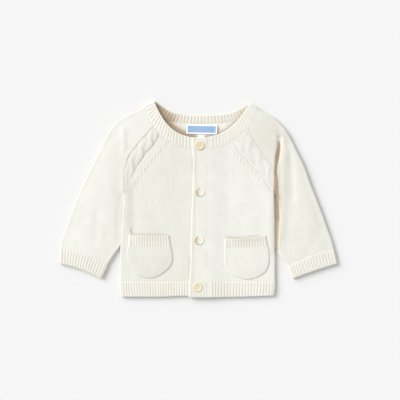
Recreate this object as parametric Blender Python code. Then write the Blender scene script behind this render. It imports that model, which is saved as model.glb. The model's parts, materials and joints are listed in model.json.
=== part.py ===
"""A baby's knitted cardigan with raglan sleeves, buttoned up and laid flat.

The tables hold millimetres and the meshes metres. X runs to the wearer's left, Y towards the neck
and Z up, away from the surface that the back lies on. The origin is under the middle of the
cardigan. Right and left are the wearer's, so the right sleeve is at -X.

Each piece of cloth is a wall between an inner side, which is plain, and an outer side, which
carries the ribs and the cables. The lower layer is flat on the surface. The upper layer lies at
the height that `lie` gives, and turns down to meet the lower one at the side seams.
"""

import math

import bmesh
import bpy
import numpy as np

MM = 0.001

# The cloth
WALL = 2.0  # thickness of the plain knit
SEAM = 0.45  # gap between two pieces at a seam
REST = 0.5  # gap between two layers that lie on each other
LABEL_REST = 0.3  # gap between a label and the cloth that it is sewn to
LAYER = 3.2  # inner side of the upper layer above the surface
RIB = 0.8  # how far a rib stands out
CABLE = 1.9  # how far a cable stands out

# The cut
HEM_SEAM_Y = -122.8
HEM_EDGE_Y = -147.6
RIGHT_HEM_RISE = (0.9, 2.2)  # the right front's hem ends above that, at the side and at the bands
BUTTON_BAND_X = 12.8  # seam between the button band and the left front
BUTTONHOLE_LAP = 1.8  # how far the upper band covers the right front
NECK_CENTRE_Y = 74.0
RIB_PITCH = 4.4
NECK_RIB_PITCH = 5.1

# The buttons
BUTTON_D = 14.5
BUTTON_H = 3.0
BUTTON_PLACES = ((1.8, 80.8), (2.1, 10.7), (0.8, -61.6), (-1.0, -132.0))
HOLE_D = 1.7
HOLE_STEP = 3.2

# The labels, which are bare
LABEL_W, LABEL_H, LABEL_T = 46.4, 14.6, 1.0
LABEL_AT = (5.0, 104.9)
LABEL_TILT = math.radians(-1.0)
TAB_W, TAB_TOP, TAB_END = 11.5, 96.6, 84.0
TAB_X = 4.3

CREAM = (0.82, 0.82, 0.74)
SLEEVE_CREAM = (0.85, 0.83, 0.76)
PEARL = (0.86, 0.78, 0.60)
LABEL_BLUE = (0.27, 0.46, 0.76)
WHITE = (0.88, 0.88, 0.88)

# Folds of the upper layer: a line, how far it spreads and how high it stands (a trough is below 0)
#        x0     y0     x1     y1  spread  rise
FOLDS = (
    (-97.0, 18.0, -98.0, -52.0, 8.0, -0.5),
    (-166.0, -72.0, -138.0, 62.0, 26.0, 1.6),
    (-152.0, -22.0, -154.0, -62.0, 7.0, -0.7),
    (-119.0, 112.0, -114.5, 58.0, 5.0, 0.8),
    (168.0, -72.0, 143.0, 62.0, 24.0, 1.6),
    (127.5, 104.0, 126.5, -52.0, 4.5, 1.9),
    (139.0, 66.0, 141.0, 2.0, 6.0, -1.1),
    (122.0, 92.0, 118.0, 56.0, 2.6, -4.0),
)
NECK_CENTRE, NECK_RADII = (2.0, 133.0), (90.0, 62.0)
NECK_RISE, NECK_SPREAD = 1.2, 0.35
CENTRE_SINK = 0.8  # the right front sinks under the upper button band
SINK_FROM, SINK_TO = -45.0, -16.0
RAMP_WIDTH = 24.0  # the left front comes down from the upper band within this

# The neckband, from its right front end round the back to its left front end.
# A fold row lies on the line where the band turns from the upper layer to the lower one.
#         free x  free y  seam x  seam y  lift of the free edge
NECK_FRONT_RIGHT = (
    (-7.4, 92.0, -7.4, 73.4, 0.8),
    (-23.7, 96.4, -23.3, 77.4, 1.6),
    (-37.5, 104.0, -39.3, 83.9, 2.4),
    (-49.5, 116.0, -55.5, 96.5, 2.8),
    (-57.5, 128.4, -67.8, 110.3, 2.6),
    (-62.3, 137.7, -76.2, 124.2, 1.8),
)
NECK_FOLD_RIGHT = (-66.5, 147.5, -81.0, 141.2, 0.8)
NECK_BACK = (
    (-55.8, 139.4, -67.2, 127.1, 0.0),
    (-45.8, 132.9, -53.5, 120.6, 0.0),
    (-32.3, 128.7, -37.5, 115.7, 0.0),
    (-15.8, 126.5, -18.0, 113.4, 0.0),
    (2.3, 125.7, 2.3, 112.9, 0.0),
    (21.8, 126.3, 23.3, 113.4, 0.0),
    (40.5, 128.1, 44.3, 115.2, 0.0),
    (57.0, 132.9, 62.3, 119.7, 0.0),
    (68.3, 139.2, 75.0, 126.2, 0.0),
)
NECK_FOLD_LEFT = (77.0, 143.6, 89.9, 136.4, 0.8)
NECK_FRONT_LEFT = (
    (71.7, 136.2, 83.9, 121.0, 1.2),
    (65.7, 126.6, 74.6, 107.8, 1.6),
    (56.5, 116.0, 63.0, 96.5, 1.6),
    (43.8, 105.2, 50.3, 87.2, 1.4),
    (29.3, 97.1, 30.8, 77.0, 1.0),
    (13.0, 92.9, 13.0, 74.0, 0.8),
)

# The raglan, from the underarm up to the neckband: the seam with the sleeve, the far side of the
# strip that holds the cable, the fold at the top of the sleeve, and the back raglan underneath.
#        seam x  seam y  front x front y fold x  fold y  back x  back y
RAGLAN_RIGHT = (
    (-112.0, 12.2, -108.0, 9.2, -174.0, 22.7, -112.0, 12.2),
    (-112.7, 30.2, -101.3, 18.2, -165.0, 41.5, -112.5, 30.2),
    (-110.3, 49.7, -89.0, 35.0, -156.3, 58.7, -109.5, 49.7),
    (-104.0, 67.0, -75.6, 53.0, -147.5, 76.0, -103.0, 67.5),
    (-89.7, 85.6, -62.5, 69.2, -136.5, 98.5, -91.0, 87.0),
    (-78.0, 98.0, -53.5, 80.0, -120.8, 118.0, -79.5, 106.0),
    (-67.8, 110.3, -45.8, 88.1, -81.0, 141.2, -67.2, 127.1),
)
RAGLAN_LEFT = (
    (114.3, 13.7, 109.5, 9.2, 168.8, 22.7, 114.3, 13.7),
    (114.2, 31.0, 101.5, 18.3, 162.8, 40.0, 114.2, 31.0),
    (111.5, 47.3, 91.5, 30.3, 156.0, 56.5, 111.5, 48.0),
    (103.5, 59.3, 80.3, 43.1, 148.5, 71.5, 104.5, 61.5),
    (93.5, 73.0, 68.5, 55.0, 140.3, 88.7, 95.5, 77.0),
    (84.0, 86.5, 57.5, 65.3, 129.6, 106.0, 87.5, 93.0),
    (77.5, 97.5, 49.0, 74.2, 113.3, 122.5, 81.5, 108.0),
    (74.6, 107.8, 41.3, 81.9, 89.9, 136.4, 75.0, 126.2),
)

# The sleeves below the underarm, from the cuff up: the underarm seam above and below, the fold at
# the other side, and how far the section bows up towards the shoulder.
#        seam x  seam y  lower x lower y fold x  fold y  bow
SLEEVE_RIGHT = (
    (-135.6, -97.8, -135.6, -97.8, -208.6, -73.0, 3.0),
    (-126.8, -83.5, -126.8, -83.5, -206.9, -62.5, 2.4),
    (-118.3, -68.8, -118.3, -68.8, -202.0, -49.3, 1.5),
    (-116.7, -43.3, -116.7, -43.3, -193.5, -25.3, 0.5),
    (-115.3, -16.3, -115.3, -16.3, -183.8, 0.2, 0.0),
)
SLEEVE_LEFT = (
    (134.6, -99.8, 134.6, -99.8, 203.7, -74.4, 3.0),
    (125.0, -88.0, 123.6, -87.4, 200.6, -62.5, 2.4),
    (119.6, -74.0, 116.3, -74.0, 195.8, -48.5, 1.5),
    (121.0, -47.8, 116.2, -47.8, 187.4, -24.6, 0.5),
    (121.3, -17.8, 115.9, -17.8, 177.8, 0.2, 0.0),
)
CUFF_EDGE_RIGHT = (-145.9, -119.9, -145.9, -119.9, -208.8, -97.0, 3.0)
CUFF_EDGE_LEFT = (141.5, -119.4, 141.5, -119.4, 209.1, -96.6, 0.8)
CUFF_RIBS_RIGHT, CUFF_RIBS_LEFT = 16, 17
NECK_BOW = -2.1  # the top of a sleeve follows the neckband, which bows out

# The side seams of the body, from the hem edge up to the underarm
#         x       y
SIDE_RIGHT = (
    (-116.6, -146.2),
    (-118.2, -134.0),
    (-118.4, -122.8),
    (-118.2, -94.3),
    (-117.4, -68.8),
    (-114.8, -19.3),
    (-112.0, 10.0),
)
SIDE_LEFT = (
    (113.6, -144.6),
    (115.0, -134.0),
    (115.4, -122.8),
    (115.4, -94.3),
    (115.0, -56.8),
    (114.9, -19.3),
    (114.0, 11.5),
)
SIDE_HEM_ROW = 2  # the row of those tables at the hem seam

# The free edge of the upper button band, from the neck down
#         x      y
BAND_EDGE = (
    (-9.5, 92.5),
    (-8.9, 73.7),
    (-6.3, 55.7),
    (-7.0, 18.2),
    (-9.0, -19.3),
    (-10.8, -56.8),
    (-13.5, -94.3),
    (-14.3, -122.8),
    (-14.5, -147.6),
)

# The pockets, from the rib down to the bottom: left and right side
#        x0      y0      x1      y1
POCKET_RIGHT = (
    (-106.8, -73.3, -40.8, -72.7),
    (-108.2, -83.8, -38.7, -84.6),
    (-105.8, -94.3, -39.2, -95.5),
    (-99.5, -104.8, -45.6, -104.8),
    (-90.8, -114.3, -57.0, -113.8),
    (-78.0, -118.8, -67.5, -118.2),
)
POCKET_LEFT = (
    (38.3, -73.3, 105.2, -73.0),
    (38.0, -85.3, 106.4, -85.3),
    (38.7, -97.3, 105.8, -96.9),
    (44.3, -107.8, 101.3, -108.3),
    (54.0, -115.8, 90.0, -116.5),
    (67.5, -120.3, 78.5, -120.6),
)
# Their ribbed tops, from the opening down: left end, right end, sag of the middle, gape
POCKET_RIB_RIGHT = (
    (-105.3, -54.3, -43.4, -54.3, 0.8, 1.6),
    (-106.2, -72.9, -41.2, -72.3, 0.0, 0.0),
)
POCKET_RIB_LEFT = (
    (38.4, -59.6, 101.2, -55.2, 1.6, 2.4),
    (38.3, -72.9, 104.9, -72.6, 0.0, 0.0),
)
POCKET_RIBS = 15


def spline(rows, t):
    """The row at t on a smooth curve through the rows of a table, with its first row at t = 0."""
    rows = np.asarray(rows, float)
    i = int(min(max(math.floor(t), 0), len(rows) - 2))
    s = t - i
    b, c = rows[i], rows[i + 1]
    a = rows[i - 1] if i else 2 * b - c
    d = rows[i + 2] if i + 2 < len(rows) else 2 * c - b
    bend = 2 * a - 5 * b + 4 * c - d
    return 0.5 * (2 * b + (c - a) * s + bend * s**2 + (3 * b - a - 3 * c + d) * s**3)


def smooth(t):
    """0 below 0, 1 above 1 and an even S between them."""
    t = min(max(t, 0.0), 1.0)
    return t * t * (3 - 2 * t)


def unit(v):
    return v / np.linalg.norm(v)


def lie(x, y):
    """Height of the upper layer's inner side, before the fronts overlap at the middle."""
    height = LAYER
    for x0, y0, x1, y1, spread, rise in FOLDS:
        along = np.array((x1 - x0, y1 - y0))
        share = np.dot((x - x0, y - y0), along) / np.dot(along, along)
        nearest = np.array((x0, y0)) + min(max(share, 0.0), 1.0) * along
        height += rise * math.exp(-((math.dist((x, y), nearest) / spread) ** 2))
    (cx, cy), (rx, ry) = NECK_CENTRE, NECK_RADII
    outside = max(math.hypot((x - cx) / rx, (y - cy) / ry) - 1, 0)
    height += NECK_RISE * math.exp(-((outside / NECK_SPREAD) ** 2))
    return max(height, WALL + REST)


def upper_level(x, y):
    """Height of the fronts' inner side: the right one sinks and the left one rises at the middle."""
    if x < BUTTON_BAND_X - SEAM:
        return lie(x, y) - CENTRE_SINK * smooth((x - SINK_FROM) / (SINK_TO - SINK_FROM))
    rise = WALL + REST - CENTRE_SINK
    return lie(x, y) + rise * (1 - smooth((x - BUTTON_BAND_X) / RAMP_WIDTH))


def band_level(x, y):
    """Height of the upper button band's inner side."""
    neck_lift = NECK_FRONT_RIGHT[0][4] * smooth((y - NECK_CENTRE_Y) / 18.0)
    return lie(x, y) - CENTRE_SINK + WALL + REST + neck_lift


def turned_edge(run, level, h, foot, turn=1.0):
    """Where cloth is, `run` in from an edge that bends down to the height `foot`.

    Gives the distance in plan from the edge and the height, for a point that is h out from the
    cloth's inner side. With turn 0 the cloth stays level.
    """
    outer, inner = level + WALL - foot, level - foot
    quarter = outer * math.pi / 2
    if run >= quarter:
        return outer + run - quarter, level + h
    angle = run / outer
    bent = np.array((outer - (inner + h) * math.cos(angle), foot + (inner + h) * math.sin(angle)))
    level_one = np.array((run * 2 / math.pi, level + h))
    return tuple(turn * bent + (1 - turn) * level_one)


def material(name, colour, roughness):
    made = bpy.data.materials.new(name)
    made.use_nodes = True
    shader = made.node_tree.nodes["Principled BSDF"]
    shader.inputs["Base Color"].default_value = (*colour, 1)
    shader.inputs["Roughness"].default_value = roughness
    shader.inputs["Metallic"].default_value = 0.0
    made.diffuse_color = (*colour, 1)
    return made


def add_object(name, bm, colour, roughness=0.9):
    """Makes the finished bmesh an object with its own material."""
    bmesh.ops.recalc_face_normals(bm, faces=bm.faces)
    mesh = bpy.data.meshes.new(name)
    bm.to_mesh(mesh)
    bm.free()
    mesh.shade_smooth()
    mesh.set_sharp_from_angle(angle=math.radians(40))
    mesh.materials.append(material(name, colour, roughness))
    made = bpy.data.objects.new(name, mesh)
    bpy.context.scene.collection.objects.link(made)
    return made


def wall(name, outer, inner, pairs=None, colour=CREAM):
    """A closed wall between two grids of points, each a list of rows in millimetres.

    Where the sides differ in their number of columns, pairs holds the (outer, inner) columns that
    lie over each other. The rim has one face, with many corners, from each pair to the next.
    """
    bm = bmesh.new()
    out = [[bm.verts.new(np.multiply(p, MM)) for p in row] for row in outer]
    ins = [[bm.verts.new(np.multiply(p, MM)) for p in row] for row in inner]
    pairs = pairs or [(k, k) for k in range(len(outer[0]))]
    for grid in (out, ins):
        for low, high in zip(grid, grid[1:]):
            for a, b, c, d in zip(low, low[1:], high[1:], high):
                bm.faces.new((a, b, c, d))
    for end in (0, -1):
        for (a, b), (c, d) in zip(pairs, pairs[1:]):
            bm.faces.new((*out[end][a : c + 1], *reversed(ins[end][b : d + 1])))
        for r in range(len(out) - 1):
            bm.faces.new((out[r][end], out[r + 1][end], ins[r + 1][end], ins[r][end]))
    return add_object(name, bm, colour)


# across a rib: place from 0 to 1 and height from 0 to 1
RIB_PROFILE = ((0.0, 0.0), (0.24, 0.86), (0.5, 1.0), (0.76, 0.86))


def rib_columns(count, start=0.0, end=1.0):
    """Columns across `count` ribs: (place from start to end, height of the rib from 0 to 1)."""
    step = (end - start) / count
    columns = [(start + (i + at) * step, high) for i in range(count) for at, high in RIB_PROFILE]
    return [*columns, (end, 0.0)]


def every_rib(count, step=1):
    """Pairs of an outer side with ribs and a plain inner side that has a column every few ribs."""
    kept = [*range(min(3, step)), *range(3, count, step), count] if step > 1 else range(count + 1)
    return [(4 * rib, k) for k, rib in enumerate(kept)]


# ------------------------------------------------------------------ the neckband


def neck_posts():
    """Posts along the neckband: free edge, seam edge and the way out of the garment, in 3-D."""
    posts = []

    def flat_posts(rows, upper):
        for fx, fy, sx, sy, lift in rows:
            if upper:
                free_z = upper_level(sx, sy) + lift + WALL / 2
                seam_z = upper_level(sx, sy) + WALL / 2
            else:
                free_z = seam_z = WALL / 2
            way = (0, 0, 1) if upper else (0, 0, -1)
            posts.append((fx, fy, free_z, sx, sy, seam_z, *way))

    def fold_posts(row, before, after):
        """Posts round the fold, from the layer of the row before to that of the row after."""
        sx, sy, lift = row[2:]
        first, turn = (90, -45) if before in NECK_FRONT_RIGHT else (-90, 45)
        for k in range(5):
            angle = math.radians(first + k * turn)
            share = (1 - math.cos(k * math.pi / 4)) / 2
            post, outs = [], np.zeros(2)
            for edge, extra in ((0, lift), (2, 0.0)):
                at = np.array(row[edge : edge + 2])
                to_before = unit(np.array(before[edge : edge + 2]) - at)
                to_after = unit(np.array(after[edge : edge + 2]) - at)
                inward = unit(to_before * (1 - share) + to_after * share)
                radius = (lie(sx, sy) + extra + WALL) / 2
                middle = radius - WALL / 2
                off = at + inward * (radius - middle * math.cos(angle))
                post += [off[0], off[1], radius + middle * math.sin(angle)]
                outs -= inward * math.cos(angle) / 2
            posts.append((*post, *outs, math.sin(angle)))

    flat_posts(NECK_FRONT_RIGHT, True)
    fold_posts(NECK_FOLD_RIGHT, NECK_FRONT_RIGHT[-1], NECK_BACK[0])
    flat_posts(NECK_BACK, False)
    fold_posts(NECK_FOLD_LEFT, NECK_BACK[-1], NECK_FRONT_LEFT[0])
    flat_posts(NECK_FRONT_LEFT, True)
    return posts


def neckband():
    posts = neck_posts()
    fine = np.linspace(0, len(posts) - 1, 1200)
    middles = np.array([(r[:3] + r[3:6]) / 2 for r in (spline(posts, t) for t in fine)])
    lengths = np.insert(np.cumsum(np.linalg.norm(np.diff(middles, axis=0), axis=1)), 0, 0)
    ribs = round(lengths[-1] / NECK_RIB_PITCH)

    def post(place):
        return spline(posts, np.interp(place / ribs * lengths[-1], lengths, fine))

    # the ribs stand out on top, so they change sides where the band folds under
    outer, inner, pairs = [], [], []
    for k in range(ribs + 1):
        shown_here = unit(post(min(k + 0.5, ribs))[6:])[2]
        for at, high in RIB_PROFILE if k < ribs else RIB_PROFILE[:1]:
            if at == 0:
                pairs.append((len(outer), len(inner)))
            row = post(k + at)
            way = unit(row[6:])
            for face, grid in ((1, outer), (-1, inner)):
                if at > 0 and face * shown_here < -0.35:
                    continue
                relief = RIB * high * smooth(0.5 + face * way[2]) if 0 < k < ribs - 1 else 0.0
                points = []
                for across, full in ((0.0, 0.5), (0.12, 1.0), (0.9, 1.0), (1.0, 0.3)):
                    point = row[:3] * (1 - across) + row[3:6] * across
                    point = point + face * way * (WALL / 2 + relief * full)
                    points.append((point[0], point[1], max(point[2], 0.0)))
                grid.append(points)
    return wall("neckband", list(zip(*outer)), list(zip(*inner)), pairs)


def neck_seam(t):
    """A point of the neckband's seam in plan, by row of the neckband's tables."""
    rows = (*NECK_FRONT_RIGHT, NECK_FOLD_RIGHT, *NECK_BACK, NECK_FOLD_LEFT, *NECK_FRONT_LEFT)
    return spline(rows, t)[2:4]


NECK_RIGHT_END, NECK_RIGHT_STRIP, NECK_RIGHT_RAGLAN = 0.0, 2.4, 4.0
NECK_BACK_RIGHT, NECK_BACK_LEFT = 7.0, 15.0
NECK_LEFT_RAGLAN, NECK_LEFT_STRIP, NECK_LEFT_END = 18.0, 20.47, 22.0


def beside(path, t, distance, step=0.01):
    """A point `distance` to the left of a plan path, looking along it."""
    along = unit(path(t + step) - path(t - step))
    return path(t) + distance * np.array((-along[1], along[0]))


# ------------------------------------------------------------------ sleeves and cuffs


def tube_section(seam, lower, fold, bow, foot, turn, lower_turn):
    """One section of a flattened sleeve, as (length, point) with point(s, h) in 3-D.

    s runs along the cloth from the seam on top, over the fold and back under to the seam.
    """
    up = unit(fold - seam)
    side = np.array((-up[1], up[0])) * (1 if fold[0] > seam[0] else -1)
    width, lower_width = math.dist(fold, seam), math.dist(fold, lower)

    def plan(share):
        return seam + (fold - seam) * share + side * bow * 4 * share * (1 - share)

    def lower_plan(share):
        return lower + (fold - lower) * share + side * max(bow, 0.0) * 4 * share * (1 - share)

    edge_level = lie(*plan(4.0 / width))
    fold_level = lie(*plan(1 - 4.0 / width))
    radius = (fold_level + WALL) / 2
    foot = (edge_level + WALL) / 2 + SEAM / 2 if foot is None else foot
    turn_radius = edge_level + WALL - foot
    quarter = turn_radius * math.pi / 2
    top = quarter + width - turn_radius - radius
    half = math.pi * radius
    lower_radius = (edge_level + WALL) / 2
    lower_quarter = lower_radius * math.pi / 2
    bottom = lower_width - radius - lower_radius + lower_quarter
    length = top + half + bottom

    def point(s, h):
        if s < top:
            off, height = turned_edge(s, edge_level, h, foot, turn)
            x, y = plan(off / width)
            if s >= quarter:
                height = lie(x, y) + h
        elif s < top + half:
            angle = (s - top) / radius
            reach = radius - WALL + h
            off = radius - reach * math.sin(angle)
            x, y = plan(1 - off / width) if angle < math.pi / 2 else lower_plan(1 - off / lower_width)
            height = radius + reach * math.cos(angle)
        else:
            run = length - s
            off, height = turned_edge(run, edge_level, h, lower_radius, lower_turn)
            x, y = lower_plan(off / lower_width)
            height = edge_level + WALL - height if run < lower_quarter else WALL - h
            height = min(height, lower_radius - SEAM / 2) if lower_turn > 0.5 else height
        return np.array((x, y, height))

    return length, point, (quarter, top, half)


def sleeve_rows(low_rows, raglan_rows):
    """The sleeve's table: seam, lower seam, fold, bow, turn of the seam."""
    rows = [(*row[:7], 1.0) for row in low_rows]
    last = len(raglan_rows) - 1
    for i, (sx, sy, _, _, fx, fy, bx, by) in enumerate(raglan_rows):
        bow = {last: NECK_BOW, last - 1: NECK_BOW / 3}.get(i, 0.0)
        rows.append((sx, sy, bx, by, fx, fy, bow, 0.35 if i == 0 else 0.0))
    return rows


def sleeve_section(rows, t, shift, lipped):
    """The section at row t, its points moved clear of the body and, at the top, the neckband."""
    low = len(SLEEVE_RIGHT)
    row = spline(rows, t) if t < low else spline(rows[low:], t - low)
    seam, lower, fold = (row[i : i + 2].copy() for i in (0, 2, 4))
    outward = -1.0 if fold[0] < 0 else 1.0
    clear = np.array((outward * SEAM / 2, 0))
    if t >= low:
        ahead = spline(rows[low:], t - low + 0.01) - spline(rows[low:], t - low - 0.01)
        along, below = unit(ahead[:2]), unit(ahead[2:4])
        clear = outward * SEAM / 2 * np.array((along[1], -along[0]))
        lower += outward * SEAM / 2 * np.array((below[1], -below[0])) - clear
    seam += clear + shift
    lower += clear + shift
    fold += shift
    turn = min(max(row[7], 0.0), 1.0)
    foot = WALL + SEAM if lipped and turn > 0.5 else None
    return tube_section(seam, lower, fold, row[6], foot, turn, 0.0 if lipped else turn)


def sleeve_columns(quarter, top, half, length):
    """Where the sleeve's columns go along the cloth: closer where it turns."""
    flat = np.linspace(quarter, top, 11)
    over = np.linspace(top, top + half, 6)[1:]
    under = np.linspace(top + half, length - quarter, 4)[1:]
    return [0, quarter / 3, quarter * 2 / 3, *flat, *over, *under, length - quarter / 2, length]


# the columns of a sleeve that its plain inner side keeps
SLEEVE_INNER = (0, 1, 3, 4, 5, 7, 9, 11, 13, 14, 16, 18, 19, 20, 21, 23)


def sleeve(name, low_rows, raglan_rows, lipped):
    rows = sleeve_rows(low_rows, raglan_rows)
    last = len(rows) - 1
    places = [0, 0.5, 1, 1.5, 2, 3, 4, 4.5, *np.arange(5, last - 0.9, 0.5)]
    places += [last - 0.5, last - 0.2, last]
    outer, inner = [], []
    for t in places:
        shift = np.zeros(2)
        chord = unit(rows[0][4:6] - np.array(rows[0][0:2]))
        if t == 0:
            shift = 0.65 * SEAM * np.array((-chord[1], chord[0])) * (1 if chord[0] > 0 else -1)
        if t == last:
            chord = unit(np.array(rows[-1][4:6]) - rows[-1][0:2])
            shift = 1.9 * SEAM * np.array((-chord[1], chord[0])) * (1 if chord[0] < 0 else -1)
        length, point, turns = sleeve_section(rows, t, shift, lipped)
        columns = sleeve_columns(*turns, length)
        outer.append([point(s, WALL) for s in columns])
        inner.append([point(columns[k], 0.0) for k in SLEEVE_INNER])
    pairs = [(at, k) for k, at in enumerate(SLEEVE_INNER)]
    return wall(name, outer, inner, pairs, colour=SLEEVE_CREAM)


def cuff(name, seam_row, edge_row, ribs):
    outer, inner = [], []
    chord = unit(np.array(seam_row[4:6]) - seam_row[0:2])
    down = np.array((-chord[1], chord[0])) * (-1 if chord[0] > 0 else 1)
    for share, high_share in ((0.0, 0.3), (0.1, 1.0), (0.9, 1.0), (1.0, 0.55)):
        row = np.array(seam_row) * (1 - share) + np.array(edge_row) * share
        shift = down * 0.65 * SEAM * (1 - share)
        seam, lower, fold = (row[i : i + 2] + shift for i in (0, 2, 4))
        length, point, (_, top, half) = tube_section(seam, lower, fold, row[6], None, 1.0, 1.0)
        ribbed = rib_columns(ribs, 0.0, (top + half * 0.75) / length)
        rest = np.linspace(ribbed[-1][0], 1.0, 5)[1:]
        outer_row = [point(at * length, WALL + RIB * high * high_share) for at, high in ribbed]
        outer_row += [point(at * length, WALL) for at in rest]
        outer.append(outer_row)
        starts = [at for at, _ in ribbed[::4]]
        inner.append([point(at * length, 0.0) for at in (*starts, *rest)])
    pairs = every_rib(ribs) + [(4 * ribs + k, ribs + k) for k in range(1, 5)]
    return wall(name, outer, inner, pairs, colour=SLEEVE_CREAM)


# ------------------------------------------------------------------ the body


def strands(along, across):
    """Height from 0 to 1 of a two-strand rope: along in crossings, across from -1 to 1."""
    highest = 0.0
    for phase in (0.0, math.pi):
        angle = math.pi * along + phase
        off = (across - 0.46 * math.cos(angle)) / 0.54
        if abs(off) < 1:
            lift = 0.7 + 0.3 * math.sin(angle)
            highest = max(highest, lift * (1 - off * off))
    return highest


CABLE_FROM, CABLE_TO = 0.1, 0.7  # across the strip, from the raglan seam
CROSSING = 27.5  # length of cloth from one crossing to the next
MARKS_FROM, MARKS_TO = 0.78, 0.90  # the fashioning marks, across the strip
STRIP_SHARES = (0, 0.05, 0.1, 0.19, 0.28, 0.37, 0.46, 0.55, 0.64, 0.7, 0.79, 0.86, 0.94, 1.0)
STRIP_INNER = (0, 3, 6, 10, 13)  # the columns that its plain inner side keeps


def strip_relief(along_mm, share, width_share, marked):
    """How far the raglan strip's outer side stands out at a place."""
    relief = 0.35 * RIB if 0.02 < share < 0.08 else 0.0
    if CABLE_FROM < share < CABLE_TO:
        middle, half = (CABLE_FROM + CABLE_TO) / 2, (CABLE_TO - CABLE_FROM) / 2
        relief = CABLE * strands(along_mm / CROSSING, (share - middle) / half)
    if marked and MARKS_FROM < share < MARKS_TO:
        relief = 0.7 * RIB
    return relief * width_share


def raglan_strip(name, rows, side, neck_from, neck_to):
    """The strip of a front along the raglan seam, with its cable and fashioning marks."""
    last = len(rows) - 1
    steps = np.linspace(0.0, 1.0, 6 * last + 1)
    reach = math.dist(rows[-1][:2], rows[0][:2])
    outer, inner = [], []
    for number, step in enumerate(steps):
        t = step * last
        row, ahead = spline(rows, t), spline(rows, t + 0.01) - spline(rows, t - 0.01)
        seam_way, front_way = unit(ahead[:2]), unit(ahead[2:4])
        seam = row[:2] + side * SEAM / 2 * np.array((-seam_way[1], seam_way[0]))
        front = row[2:4] - side * SEAM / 2 * np.array((-front_way[1], front_way[0]))
        width = math.dist(seam, front)
        outer_row, inner_row = [], []
        for share in STRIP_SHARES:
            x, y = seam + (front - seam) * share
            # the last rows curve to meet the neckband
            at_neck = beside(neck_seam, neck_from + (neck_to - neck_from) * share, SEAM)
            straight = np.array(rows[-1][:2]) * (1 - share) + np.array(rows[-1][2:4]) * share
            x, y = (x, y) + (at_neck - straight) * smooth((step - 0.75) / 0.25)
            level = upper_level(x, y)
            y += SEAM * (1 - smooth(step / 0.05))
            relief = strip_relief(step * reach, share, min(width / 26.0, 1.0), number % 3 == 1)
            ends = smooth(step / 0.05) * smooth((1 - step) / 0.04)
            outer_row.append((x, y, level + WALL + relief * ends))
            inner_row.append((x, y, level))
        outer.append(outer_row)
        inner.append([inner_row[k] for k in STRIP_INNER])
    return wall(name, outer, inner, [(at, k) for k, at in enumerate(STRIP_INNER)])


def front(name, sides, raglan_rows, side, neck_from, neck_to, centre_x):
    """A front, from the hem seam up to the raglan strip and the neckband."""
    hem = sides[SIDE_HEM_ROW]
    underarm = np.array(sides[-1])
    last_side = len(sides) - 1
    last_raglan = len(raglan_rows) - 1
    corner_x = raglan_rows[-1][2]
    centre_low = centre_x(HEM_SEAM_Y)

    def raglan_path(t):
        return spline(raglan_rows, t)[2:4]

    corner = np.array(raglan_rows[-1][2:4])
    corner_shift = beside(neck_seam, neck_from, SEAM) - corner
    corner_along = beside(raglan_path, last_raglan, side * SEAM / 2) - corner
    quarter = (LAYER + WALL) / 2
    width = abs(centre_low - hem[0]) - quarter
    first_share = (abs(corner_x - hem[0]) / (last_raglan + 1) - quarter) / width
    corner_share = (abs(corner_x - hem[0]) - quarter) / width
    shares = [0, *np.linspace(first_share, corner_share, 10), *np.linspace(corner_share, 1, 7)[1:]]
    # the columns that the plain inner side keeps
    kept = (0, 1, 2, 3, 4, 6, 8, 10, 12, *range(13, 20))

    def top_boundary(x_low):
        """The point of the upper edge that the column from x_low on the hem leads to."""
        share = (x_low - hem[0]) / (corner_x - hem[0])
        if share <= 1:
            path = share * (last_raglan + 1) - 1
            if path < 0:
                first = beside(raglan_path, 0.0, side * SEAM / 2)
                return underarm + (first - underarm) * (path + 1)
            return beside(raglan_path, path, side * SEAM / 2) + corner_shift * smooth(path - last_raglan + 1)
        share = (x_low - corner_x) / (centre_low - corner_x)
        t = neck_from + (neck_to - neck_from) * share
        return beside(neck_seam, t, SEAM) + corner_along * (1 - smooth(share * 5))

    outer, inner = [], []
    for v in (0.0, 0.12, 0.25, 0.38, 0.5, 0.62, 0.73, 0.82, 0.9, 0.96, 1.0):
        edge = spline(sides, SIDE_HEM_ROW + v * (last_side - SIDE_HEM_ROW))
        edge[1] += SEAM / 2 * (1 - v)
        turn = 1 - 0.75 * smooth((v - 0.9) / 0.1)
        edge_level = upper_level(edge[0] - side * 3.0, edge[1])
        radius = (edge_level + WALL) / 2
        rows = ([], [])
        for depth, line in zip((WALL, 0.0), rows):
            for run in (0.0, radius * math.pi / 6, radius * math.pi / 3):
                off, height = turned_edge(run, edge_level, depth, radius, turn)
                height = max(height, radius + SEAM / 2)
                line.append((edge[0] - side * off, edge[1], height))
            for share in shares:
                x_low = hem[0] - side * quarter + (centre_low - hem[0] + side * quarter) * share
                low = np.array((x_low, HEM_SEAM_Y + SEAM / 2))
                x, y = low + (top_boundary(x_low) - low) * v
                x += (edge[0] - (hem[0] + (underarm[0] - hem[0]) * v)) * (1 - share) ** 3
                straight = low[0] + (top_boundary(centre_low)[0] - low[0]) * v
                x += (centre_x(y) - straight) * share**6 if share > 0.3 else 0
                line.append((x, y, upper_level(x, y) + depth))
        outer.append(rows[0])
        inner.append([rows[1][k] for k in kept])
    return wall(name, outer, inner, [(at, k) for k, at in enumerate(kept)])


def band_edge_x(y):
    ys = [row[1] for row in BAND_EDGE]
    xs = [row[0] for row in BAND_EDGE]
    return float(np.interp(y, ys[::-1], xs[::-1]))


def right_centre_x(y):
    return band_edge_x(y) + BUTTONHOLE_LAP


def left_centre_x(y):
    return BUTTON_BAND_X + SEAM / 2


def hem_y(x):
    """The hem's edge: higher on the right front, and curved up to the left side seam."""
    if x > BAND_EDGE[-1][0] + 5:
        return HEM_EDGE_Y + 3.0 * (x / 116.0) ** 2
    at_side, at_bands = RIGHT_HEM_RISE
    return HEM_EDGE_Y + at_side + (at_bands - at_side) * smooth((x + 58.0) / 30.0)


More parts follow.
